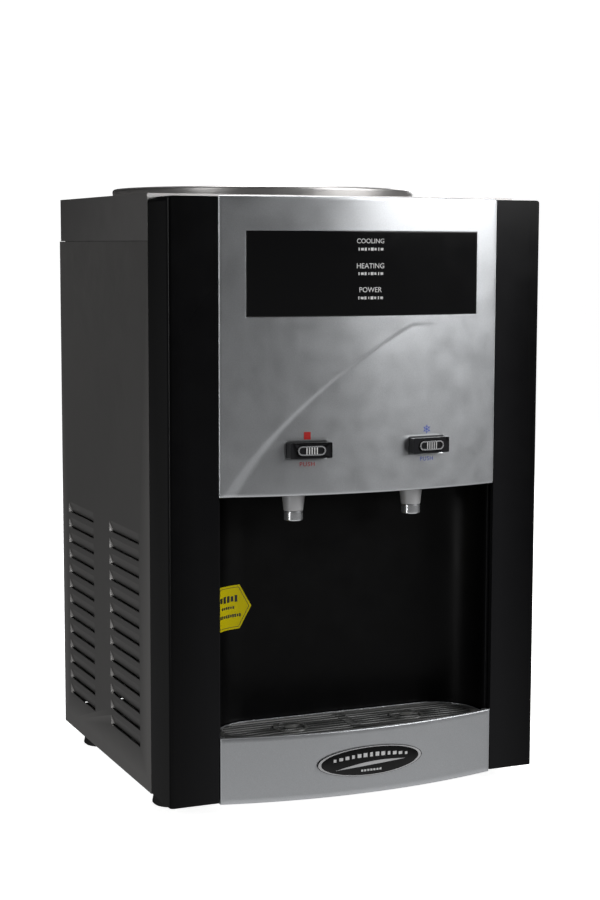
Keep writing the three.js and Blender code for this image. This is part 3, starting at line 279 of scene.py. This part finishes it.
WHITE_INK = surface("white_ink", (0.62, 0.62, 0.62), 0.5, spread=0.05)
RED_INK = surface("red_ink", (0.45, 0.012, 0.01), 0.45, spread=0.05)
BLUE_INK = surface("blue_ink", (0.05, 0.1, 0.5), 0.45, spread=0.05)
BLACK_INK = surface("black_ink", (0.01, 0.01, 0.008), 0.5, spread=0.1)
SCREW_STEEL = brushed("screw_steel", (0.5, 0.5, 0.5), 0.35, (6, 1, 1))


# ------------------------------------------------------------------ CAD nodes keep their shape
USUAL_EDGE = 0.0004
EDGE_WIDTH = {
    "front_frame": 0.0008,
    "drip_tray": 0.0009,
    "top_cover": 0.0008,
    "side_panel_left": 0.0003,
    "side_panel_right": 0.0003,
    "hot_bezel": 0.0006,
    "cold_bezel": 0.0006,
    "alcove_liner": 0.0008,
}
# What is round, thin or finely ribbed gets no rounded edges.
NO_BEVEL = {
    "hot_spring", "cold_spring", "evaporator_coil", "cold_hose", "hot_hose", "transfer_hose",
    "warning_label", "tray_badge", "drip_grille",
}

# A flat rim that runs all the way round an opening can't be made one face.
OPEN_TOPPED = {"drip_tray"}

# Corners this close are one corner, and facets this flat to each other, in degrees, are one face.
WELD_REACH = 0.00001
FLAT_ANGLE = 0.4

# Degrees between two faces that make an edge sharp. The condenser's round tubes have coarser facets.
USUAL_ANGLE = 32
SHARP_ANGLE = {"condenser": 70}


def soften(piece, width, angle):
    """Merges facets, rounds the sharp edges a little and shades what is curved smoothly."""
    weld = piece.modifiers.new("weld", "WELD")
    weld.merge_threshold = WELD_REACH
    if piece.name not in NO_BEVEL | OPEN_TOPPED:
        flat = piece.modifiers.new("flat", "DECIMATE")
        flat.decimate_type = "DISSOLVE"
        flat.angle_limit = math.radians(FLAT_ANGLE)
        flat.delimit = {"MATERIAL"}
    if piece.name not in NO_BEVEL:
        bevel = piece.modifiers.new("bevel", "BEVEL")
        bevel.width = width
        bevel.segments = 3
        bevel.limit_method = "ANGLE"
        bevel.angle_limit = math.radians(angle)
        bevel.use_clamp_overlap = True
        bevel.harden_normals = False
    for face in piece.data.polygons:
        face.use_smooth = True
    normals = piece.modifiers.new("normals", "WEIGHTED_NORMAL")
    normals.keep_sharp = True
    normals.weight = 80


def dress_cad():
    """Each CAD node gets the material of its slot and softened edges."""
    for row in frame["record"]["subparts"]:
        piece = NODES[row["node"]]
        piece.data.materials.clear()
        piece.data.materials.append(MATERIALS[row["material_slot"]])
        width = EDGE_WIDTH.get(row["node"], USUAL_EDGE)
        soften(piece, width, SHARP_ANGLE.get(row["node"], USUAL_ANGLE))


dress_cad()


# ------------------------------------------------------------------ the bowed front
FASCIA_LOW, FASCIA_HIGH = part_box("fascia")
FRONT_HALF = FASCIA_HIGH.x
BOW_FRONT = FASCIA_LOW.y
PILLAR_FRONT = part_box("front_frame")[0].y
OPENING_HALF = 0.116
BOW_SAG = PILLAR_FRONT - BOW_FRONT
BOW_RADIUS = (OPENING_HALF**2 + BOW_SAG**2) / (2 * BOW_SAG)


def bow_y(x):
    """The bowed front face at x."""
    return BOW_FRONT + BOW_RADIUS - math.sqrt(BOW_RADIUS**2 - x**2)


def data_from(mesh, name, smooth=False):
    """Mesh data made from a bmesh, which is freed."""
    data = bpy.data.meshes.new(name)
    mesh.to_mesh(data)
    mesh.free()
    for face in data.polygons:
        face.use_smooth = smooth
    return data


def new_piece(name, data, material, body):
    piece = bpy.data.objects.new(name, data)
    bpy.context.scene.collection.objects.link(piece)
    piece.data.materials.append(material)
    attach(piece, body)
    return piece


def rounded_box(name, centre, size, edge, segments, material):
    """A box on the cabinet, given by its middle and its size, with rounded edges."""
    mesh = bmesh.new()
    bmesh.ops.create_cube(mesh, size=1)
    for v in mesh.verts:
        v.co = Vector([c + s * part for c, s, part in zip(centre, size, v.co)])
    bmesh.ops.recalc_face_normals(mesh, faces=mesh.faces)
    bmesh.ops.bevel(mesh, geom=mesh.edges[:], offset=edge, segments=segments, affect="EDGES")
    new_piece(name, data_from(mesh, name), material, "cabinet")


def lines_between(low, high, step, extra):
    """Even steps from low to high, with the extra lines in place of the even ones close to them."""
    count = max(1, round((high - low) / step))
    even = [low + (high - low) * i / count for i in range(count + 1)]
    kept = [value for value in even if all(abs(value - e) > step * 0.3 for e in extra)]
    return sorted(kept + [e for e in extra if low <= e <= high])


# Shares of a rounded edge's radius, at which a skin has lines, closer together near its outline.
ROLL_SHARES = (0.0, 0.08, 0.3, 0.6, 1.0)


def rolls(low, high, radius):
    """The lines across the two rounded edges of a skin."""
    return [low + radius * s for s in ROLL_SHARES] + [high - radius * s for s in ROLL_SHARES]


def rolled(distance, radius):
    """How far a rounded edge has dropped back at a distance from the outline."""
    inward = min(radius, distance)
    return radius - math.sqrt(max(0.0, radius**2 - (radius - inward) ** 2))


def skin(name, xs, zs, front, thickness, body, is_hole=None):
    """A smooth silver skin over the lines xs and zs, with front(x, z) its front face."""
    mesh = bmesh.new()
    grid = [[mesh.verts.new((x, front(x, z), z)) for x in xs] for z in zs]
    for j in range(len(zs) - 1):
        for i in range(len(xs) - 1):
            if is_hole and is_hole((xs[i] + xs[i + 1]) / 2, (zs[j] + zs[j + 1]) / 2):
                continue
            mesh.faces.new((grid[j][i], grid[j][i + 1], grid[j + 1][i + 1], grid[j + 1][i]))
    data = data_from(mesh, name, smooth=True)
    piece = new_piece(name, data, MATERIALS["silver_paint"], body)
    solid = piece.modifiers.new("thickness", "SOLIDIFY")
    solid.thickness = thickness
    solid.offset = -1
    solid.use_even_offset = False
    return piece


# The band of the groove, widening from its tip to the lower left: each edge has an end and a middle,
# in millimetres of x and height.
GROOVE_TIP = (36.0, 370.5)
GROOVE_UPPER = ((-106.0, 239.0), (-67.0, 317.0))
GROOVE_LOWER = ((-116.0, 239.0), (-73.0, 314.0))
GROOVE_DEEP = 0.0008
GROOVE_TALL = 0.13


def bezier(start, middle, end, t):
    """The point at t on a curve from start to end that leans towards middle."""
    return tuple((1 - t) ** 2 * a + 2 * t * (1 - t) * b + t * t * c for a, b, c in zip(start, middle, end))


def groove_x(edge, z):
    """Where one edge of the groove crosses the height z."""
    end, middle = edge
    low, high = 0.0, 1.0
    for _ in range(24):
        t = (low + high) / 2
        if bezier(GROOVE_TIP, middle, end, t)[1] > z * 1000:
            low = t
        else:
            high = t
    return bezier(GROOVE_TIP, middle, end, low)[0] / 1000


def groove_depth(x, z, edges):
    """How far the groove lies behind the fascia: it slopes in across its band, then fades out."""
    tip_z = GROOVE_TIP[1] / 1000
    if z >= tip_z:
        return 0.0
    left, right = edges
    along = (tip_z - z) / GROOVE_TALL
    deep = GROOVE_DEEP * min(1.0, 0.25 + 0.75 * along)
    if x <= left:
        return 0.0
    if x <= right:
        return deep * (x - left) / (right - left)
    fade = (x - right) / (0.03 + 0.05 * min(1, along))
    return deep * (1 - fade) ** 2 if fade < 1 else 0.0


FASCIA_EDGE = 0.0012
FASCIA_THICK = 0.0024
LINE_STEP = 0.0015
WINDOW_GAP = 0.0003
WINDOW_SINK = 0.0013
# Lines this close to either side of the window's recess keep its step sharp under smooth shading.
SUPPORT = 0.00012
HOLE_INSET = 0.003


def window_recess():
    low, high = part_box("display_window")
    return low.x - WINDOW_GAP, high.x + WINDOW_GAP, low.z - WINDOW_GAP, high.z + WINDOW_GAP


def button_hole(name):
    low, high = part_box(name)
    return low.x + HOLE_INSET, high.x - HOLE_INSET, low.z + HOLE_INSET, high.z - HOLE_INSET


def inside(limits, x, z, margin=0.0):
    left, right, bottom, top = limits
    return left + margin < x < right - margin and bottom + margin < z < top - margin


def fascia():
    """The silver fascia, with the groove, the recess for the window and the two button holes."""
    recess = window_recess()
    holes = [button_hole("hot_bezel"), button_hole("cold_bezel")]
    xs = rolls(-FRONT_HALF, FRONT_HALF, FASCIA_EDGE)
    zs = rolls(FASCIA_LOW.z, FASCIA_HIGH.z, FASCIA_EDGE)
    for left, right, bottom, top in holes + [recess]:
        xs += [left, right]
        zs += [bottom, top]
    for side in (-SUPPORT, SUPPORT):
        xs += [recess[0] + side, recess[1] + side]
        zs += [recess[2] + side, recess[3] + side]
    xs = lines_between(-FRONT_HALF, FRONT_HALF, LINE_STEP, sorted(set(xs)))
    zs = lines_between(FASCIA_LOW.z, FASCIA_HIGH.z, LINE_STEP, sorted(set(zs)))
    groove = {z: sorted((groove_x(GROOVE_UPPER, z), groove_x(GROOVE_LOWER, z))) for z in zs}

    def front(x, z):
        y = bow_y(x) + groove_depth(x, z, groove[z])
        y += rolled(min(FRONT_HALF - abs(x), z - FASCIA_LOW.z, FASCIA_HIGH.z - z), FASCIA_EDGE)
        return y + WINDOW_SINK if inside(recess, x, z, SUPPORT / 2) else y

    def is_hole(x, z):
        return any(inside(hole, x, z) for hole in holes)

    piece = skin("fascia_look", xs, zs, front, FASCIA_THICK, "cabinet", is_hole)
    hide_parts("fascia")


def cheek(name, side):
    """The fascia's return between its front and the pillar. Its faces point inward."""
    wide, deep = 0.0022, 0.0036
    tall = FASCIA_HIGH.z - FASCIA_LOW.z - 0.0016
    middle_z = (FASCIA_LOW.z + FASCIA_HIGH.z) / 2
    centre = (side * (FRONT_HALF - wide / 2), PILLAR_FRONT - 0.0002 + deep / 2, middle_z)
    mirrored = (-wide, deep, tall)
    rounded_box(name, centre, mirrored, 0.0005, 3, MATERIALS["silver_paint"])


fascia()
cheek("fascia_cheek_left", -1)
cheek("fascia_cheek_right", 1)


def tray_front():
    """A smooth skin over the faceted front of the tray, rounded over at its edges."""
    low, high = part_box("drip_tray")
    half = high.x - 0.0002
    edge = 0.0009
    proud = 0.0001
    xs = lines_between(-half, half, 0.003, rolls(-half, half, edge))
    zs = lines_between(low.z, high.z, 0.004, rolls(low.z, high.z, edge))

    def front(x, z):
        return bow_y(x) - proud + rolled(min(half - abs(x), z - low.z, high.z - z), edge)

    skin("tray_front_skin", xs, zs, front, 0.0004, "tray")


tray_front()


# ------------------------------------------------------------------ printed marks
INK = 0.00006


def print_mesh(name, outlines, material, body, surface_y):
    """Thin printed shapes: closed outlines in x and z, laid on the surface."""
    mesh = bmesh.new()
    for outline in outlines:
        front = [mesh.verts.new((x, surface_y(x) - INK, z)) for x, z in outline]
        back = [mesh.verts.new((x, surface_y(x) + INK, z)) for x, z in outline]
        mesh.faces.new(front)
        mesh.faces.new(back[::-1])
        for i in range(len(front)):
            j = (i + 1) % len(front)
            mesh.faces.new((front[j], front[i], back[i], back[j]))
    bmesh.ops.recalc_face_normals(mesh, faces=mesh.faces)
    new_piece(name, data_from(mesh, name), material, body)


def bar(x, z, width, height, angle=0.0):
    """A rectangle round (x, z), turned by an angle."""
    c, s = math.cos(angle), math.sin(angle)
    a, b = width / 2, height / 2
    corners = [(-a, -b), (a, -b), (a, b), (-a, b)]
    return [(x + c * u - s * v, z + s * u + c * v) for u, v in corners]


def lettering(name, words, x, z, width, material, spread=1.0):
    """A generic word, printed on the bowed front, scaled to a width and centred on (x, z)."""
    curve = bpy.data.curves.new(name, "FONT")
    curve.body = words
    curve.align_x = "CENTER"
    curve.align_y = "CENTER"
    curve.space_character = spread
    curve.size = 0.004
    curve.extrude = INK
    curve.resolution_u = 3
    text = bpy.data.objects.new(name + "_curve", curve)
    bpy.context.scene.collection.objects.link(text)
    bpy.context.view_layer.update()
    data = bpy.data.meshes.new_from_object(text.evaluated_get(bpy.context.evaluated_depsgraph_get()))
    bpy.data.objects.remove(text)
    span = max(v.co.x for v in data.vertices) - min(v.co.x for v in data.vertices)
    factor = width / span
    for v in data.vertices:
        px = x + v.co.x * factor
        v.co = Vector((px, bow_y(px) - v.co.z, z + v.co.y * factor))
    data.name = name
    new_piece(name, data, material, "cabinet")


def window_marks():
    """Three generic function words on the window, each over a row of small marks."""
    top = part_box("display_window")[1].z
    for name, wide, word_drop, marks_drop in (
        ("cooling", 0.0225, 0.0074, 0.0133),
        ("heating", 0.0225, 0.0259, 0.0315),
        ("power", 0.0185, 0.0437, 0.0496),
    ):
        lettering("word_" + name, name.upper(), 0, top - word_drop, wide, WHITE_INK)
        marks = []
        for i in range(8):
            mark_wide = 0.0009 + 0.0007 * ((i * 5) % 3)
            mark_tall = 0.0022 - 0.0004 * (i % 2)
            marks.append(bar(-0.0095 + i * 0.0027, top - marks_drop, mark_wide, mark_tall))
        print_mesh("marks_" + name, marks, WHITE_INK, "cabinet", bow_y)


def snowflake(x, z, radius):
    """Three crossed bars, with a short bar across each arm."""
    shapes = []
    for i in range(3):
        angle = math.pi / 2 + i * math.pi / 3
        shapes.append(bar(x, z, radius * 2, 0.00055, angle))
        for side in (-1, 1):
            along = side * radius * 0.62
            cx, cz = x + along * math.cos(angle), z + along * math.sin(angle)
            shapes.append(bar(cx, cz, radius * 0.6, 0.00045, angle + math.pi / 2))
    return shapes


def button_marks():
    """A red square and a blue snowflake above the buttons, and the same word under each."""
    for name, ink in (("hot", RED_INK), ("cold", BLUE_INK)):
        low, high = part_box(name + "_bezel")
        x = (low.x + high.x) / 2
        top, bottom = high.z - HOLE_INSET, low.z + HOLE_INSET
        if name == "hot":
            icon = [bar(x, top + 0.0045, 0.0052, 0.0056)]
        else:
            icon = snowflake(x, top + 0.0058, 0.0034)
        print_mesh(name + "_icon", icon, ink, "cabinet", bow_y)
        lettering(name + "_word", "PUSH", x, bottom - 0.0052, 0.0115, ink, 1.15)


window_marks()
button_marks()


def pad_finish(name, rib_highlight):
    """The front faces of a push pad's rim take chrome and its ribs a lighter finish: lighter than the
    black pad, they paint in the highlights along its rim and ribs.
    """
    low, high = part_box(name + "_button")
    proud = bow_y(min(abs(low.x), abs(high.x))) - low.y
    piece = NODES[name + "_button"]
    piece.data.materials.append(MATERIALS["chrome"])
    piece.data.materials.append(rib_highlight)
    rim, ribs = 1, 2
    for face in piece.data.polygons:
        place = piece.matrix_world @ face.center
        normal = piece.matrix_world.to_3x3() @ face.normal
        depth = place.y - (bow_y(place.x) - proud)
        if normal.y > -0.8 or depth > 0.0003:
            continue
        face.material_index = rim if depth < 0.00006 else ribs


# White ink on the hot pad's ribs and satin metal on the cold pad's paint the highlights the ribs catch.
pad_finish("hot", WHITE_INK)
pad_finish("cold", MATERIALS["satin_metal"])


def badge():
    """The tray's badge: a silver ring, a generic wave and rows of bars on the black plaque."""
    low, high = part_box("tray_badge")
    x0, z0 = (low.x + high.x) / 2, (low.z + high.z) / 2
    wide, tall = (high.x - low.x) / 2, (high.z - low.z) / 2
    silver = MATERIALS["satin_metal"]
    sides = 72

    def plaque(x):
        return bow_y(x) - 0.0012

    def oval(scale):
        turns = [2 * math.pi * i / sides for i in range(sides)]
        return [(x0 + wide * scale * math.cos(t), z0 + tall * scale * math.sin(t)) for t in turns]

    def arc(along):
        return math.cos(math.pi * along / 2)

    outer, inner = oval(0.985), oval(0.93)
    pairs = [(i, (i + 1) % sides) for i in range(sides)]
    ring = [[outer[i], outer[j], inner[j], inner[i]] for i, j in pairs]
    print_mesh("badge_ring", ring, silver, "tray", plaque)

    big = []
    for i in range(13):
        along = (i - 6) / 6
        z = z0 + tall * (0.42 - 0.2 * along * along)
        width = 0.0032 if i % 3 else 0.0022
        big.append(bar(x0 + along * wide * 0.68, z, width, 0.0034 - 0.0012 * abs(along)))
    print_mesh("badge_marks", big, WHITE_INK, "tray", plaque)

    steps = 24
    wave = []
    for i in range(steps + 1):
        along = 2 * i / steps - 1
        middle = z0 - tall * (0.28 - 0.16 * along - 0.12 * arc(along))
        half = 0.0013 * arc(along) + 0.00005
        wave.append((x0 + along * wide * 0.66, middle - half, middle + half))
    quads = [[(a, a_low), (b, b_low), (b, b_top), (a, a_top)]
             for (a, a_low, a_top), (b, b_low, b_top) in zip(wave, wave[1:])]
    print_mesh("badge_swoosh", quads, silver, "tray", plaque)

    small = [bar(x0 + (i - 3) * 0.0026, z0 - tall * 0.62, 0.0018, 0.0015) for i in range(7)]
    print_mesh("badge_small_marks", small, WHITE_INK, "tray", plaque)


badge()


def label_marks():
    """A border line and rows of plain bars on the warning sticker, which follows the alcove's corner."""
    piece = NODES["warning_label"]
    places = [piece.matrix_world @ v.co for v in piece.data.vertices]
    tree = BVHTree.FromPolygons(places, [tuple(f.vertices) for f in piece.data.polygons])
    low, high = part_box("warning_label")
    z0 = (low.z + high.z) / 2
    radius = (high.z - low.z) / 2 / math.sin(math.pi / 3)
    x0 = high.x - radius
    nearest = {}

    def sticker(x):
        """The sticker's face at x, or the last face found where x is just past its edge."""
        hit = tree.ray_cast(Vector((x, PILLAR_FRONT, z0)), Vector((0, 1, 0)))[0]
        if hit:
            nearest["y"] = hit.y
        return nearest.get("y", low.y)

    def strip(start, end, thickness):
        """A straight stroke as short pieces, so that it bends round the corner with the sticker."""
        (ax, az), (bx, bz) = start, end
        length = math.hypot(bx - ax, bz - az)
        nx = -(bz - az) / length * thickness / 2
        nz = (bx - ax) / length * thickness / 2
        count = max(1, round(length / 0.0012))
        shares = [i / count for i in range(count + 1)]
        stops = [(ax + (bx - ax) * s, az + (bz - az) * s) for s in shares]
        return [[(px + nx, pz + nz), (px - nx, pz - nz), (qx - nx, qz - nz), (qx + nx, qz + nz)]
                for (px, pz), (qx, qz) in zip(stops, stops[1:])]

    turns = [math.pi / 3 * i for i in range(6)]
    border = [(x0 + 0.9 * radius * math.cos(t), z0 + 0.9 * radius * math.sin(t)) for t in turns]
    left_limit = low.x + 0.001
    strokes = []
    for start, end in zip(border, border[1:] + border[:1]):
        if min(start[0], end[0]) > left_limit:
            strokes += strip(start, end, 0.0004)
    print_mesh("label_border", strokes, BLACK_INK, "cabinet", sticker)
    rows = (
        (0.0068, 0.0052, 0.0026, 0.0037, 0.008, 5),
        (0.0, 0.0022, 0.0016, 0.0022, 0.005, 6),
        (-0.0066, 0.0026, 0.0015, 0.0021, 0.011, 10),
    )
    marks = []
    for rise, tall, wide, pitch, right, count in rows:
        for i in range(count):
            x = x0 + right - i * pitch
            if x - wide > left_limit:
                marks += strip((x - wide, z0 + rise), (x, z0 + rise), tall * (0.8 if i % 3 == 1 else 1))
    print_mesh("label_marks", marks, BLACK_INK, "cabinet", sticker)


label_marks()


# ------------------------------------------------------------------ screws in the rear panel
def screw(name, x, y, z):
    """A pan-head screw with a cross recess, facing the rear."""
    mesh = bmesh.new()
    steps = 20
    notch = 0.0006
    rings = []
    for radius, height in ((0.0014, 0.0018), (0.0026, 0.0013), (0.0032, 0.0005), (0.0033, 0.0)):
        ring = []
        for i in range(steps):
            angle = 2 * math.pi * i / steps
            sunk = notch if not rings and i % 5 == 0 else 0.0
            place = (x + radius * math.cos(angle), y + height - sunk, z + radius * math.sin(angle))
            ring.append(mesh.verts.new(place))
        rings.append(ring)
    centre = mesh.verts.new((x, y + 0.001, z))
    for i in range(steps):
        j = (i + 1) % steps
        mesh.faces.new((centre, rings[0][j], rings[0][i]))
        for inner, outer in zip(rings, rings[1:]):
            mesh.faces.new((inner[i], inner[j], outer[j], outer[i]))
    mesh.faces.new(rings[-1])
    bmesh.ops.recalc_face_normals(mesh, faces=mesh.faces)
    new_piece(name, data_from(mesh, name, smooth=True), SCREW_STEEL, "cabinet")


def rear_screws():
    """Three screws down each side of the rear panel."""
    low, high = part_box("rear_panel")
    count = 0
    for x in (low.x + 0.008, high.x - 0.008):
        for share in (0.04, 0.5, 0.96):
            count += 1
            screw(f"rear_screw_{count}", x, high.y, low.z + share * (high.z - low.z))


rear_screws()


def inner_sheet(name, centre, size):
    rounded_box(name, centre, size, min(size) * 0.2, 2, MATERIALS["rubber"])


def inner_seals():
    """A rubber strip behind each side's seam under the cover, and a dust screen inside the rear slots."""
    thick = 0.0006
    low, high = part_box("side_panel_right")
    middle = (low.y + high.y) / 2
    length = high.y - low.y - 0.012
    for name, side in (("seam_strip_left", -1), ("seam_strip_right", 1)):
        place = (side * (high.x - 0.0034), middle, high.z)
        inner_sheet(name, place, (thick, length, 0.005))
    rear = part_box("rear_panel")[0]
    inner_sheet("dust_screen", (0, rear.y - 0.001, rear.z + 0.115), (0.15, thick, 0.1))


inner_seals()


# ------------------------------------------------------------------ stage and light
FLOOR_GLOW = 0.92
FLOOR_DROP = 0.0003
ROOM_HIGH = 0.016
ROOM_LOW = 0.12
FRONT_FLOOR = 0.6


def floor():
    """A pale floor that curves up far behind. Only the camera sees it, so it doesn't light the object."""
    m = Nodes("floor")
    m.link(m.blend(m.noise(3, 2), (0.86, 0.86, 0.86), (0.9, 0.9, 0.9)), m.shader.inputs["Base Color"])
    m.set({"Roughness": 0.8, "Emission Color": (1, 1, 1, 1), "Emission Strength": FLOOR_GLOW})
    reach, height = 9.0, 7.0
    start, radius, steps = 2.4, 1.5, 16
    turns = [math.pi / 2 * i / steps for i in range(1, steps + 1)]
    profile = [(-reach, 0.0), (start, 0.0)]
    profile += [(start + radius * math.sin(a), radius - radius * math.cos(a)) for a in turns]
    profile.append((start + radius, height))
    sweep = bmesh.new()
    rows = [[sweep.verts.new((x, y, z - FLOOR_DROP)) for x in (-reach, reach)] for y, z in profile]
    for low, high in zip(rows, rows[1:]):
        sweep.faces.new((low[0], low[1], high[1], high[0]))
    data = data_from(sweep, "floor", smooth=True)
    data.materials.append(m.material)
    ground = bpy.data.objects.new("floor", data)
    bpy.context.scene.collection.objects.link(ground)
    ground.visible_glossy = False
    ground.visible_diffuse = False


def softbox(name, place, target, width, height, power):
    """A rectangular lamp at a place, facing a target."""
    data = bpy.data.lights.new(name, "AREA")
    data.shape = "RECTANGLE"
    data.size = width
    data.size_y = height
    data.energy = power
    light = bpy.data.objects.new(name, data)
    light.location = place
    aim = Vector(target) - Vector(place)
    light.rotation_mode = "QUATERNION"
    light.rotation_quaternion = aim.to_track_quat("-Z", "Y")
    bpy.context.scene.collection.objects.link(light)


def world_light():
    """A white surround for the camera. In reflections it is a dim room, paler low down in front."""
    world = bpy.data.worlds.new("studio")
    world.use_nodes = True
    nodes, links = world.node_tree.nodes, world.node_tree.links
    background = nodes["Background"]
    background.inputs["Color"].default_value = (1, 1, 1, 1)
    direction = nodes.new("ShaderNodeTexCoord")
    split = nodes.new("ShaderNodeSeparateXYZ")
    links.new(direction.outputs["Generated"], split.inputs["Vector"])

    def ramp(axis, start, end, low, high):
        node = nodes.new("ShaderNodeMapRange")
        node.inputs["From Min"].default_value = start
        node.inputs["From Max"].default_value = end
        node.inputs["To Min"].default_value = low
        node.inputs["To Max"].default_value = high
        links.new(split.outputs[axis], node.inputs["Value"])
        return node.outputs["Result"]

    def combine(operation, first, second):
        node = nodes.new("ShaderNodeMath")
        node.operation = operation
        links.new(first, node.inputs[0])
        links.new(second, node.inputs[1])
        return node.outputs["Value"]

    room = ramp("Z", 0.1, -0.3, ROOM_HIGH, ROOM_LOW)
    near_floor = combine("MULTIPLY", ramp("Z", -0.16, -0.4, 0, 1), ramp("Y", 0.3, -0.5, 0, FRONT_FLOOR))
    path = nodes.new("ShaderNodeLightPath")
    choose = nodes.new("ShaderNodeMix")
    choose.inputs["B"].default_value = 1
    links.new(path.outputs["Is Camera Ray"], choose.inputs["Factor"])
    links.new(combine("ADD", room, near_floor), choose.inputs["A"])
    links.new(choose.outputs["Result"], background.inputs["Strength"])
    bpy.context.scene.world = world


floor()
world_light()
bpy.context.scene.view_settings.view_transform = "Standard"
softbox("key", (1.19, -1.25, 1.04), (0, -0.15, 0.36), 1.5, 1.1, 28.5)
softbox("top", (0.3, 0.5, 2.0), (0, 0.1, 0.4), 1.0, 1.0, 20)
softbox("left_strip", (-1.4, -0.65, 0.5), (-0.1, 0, 0.25), 0.2, 1.2, 5)
softbox("rear_right", (1.2, 1.3, 0.9), (0, 0.05, 0.45), 0.5, 0.8, 8)
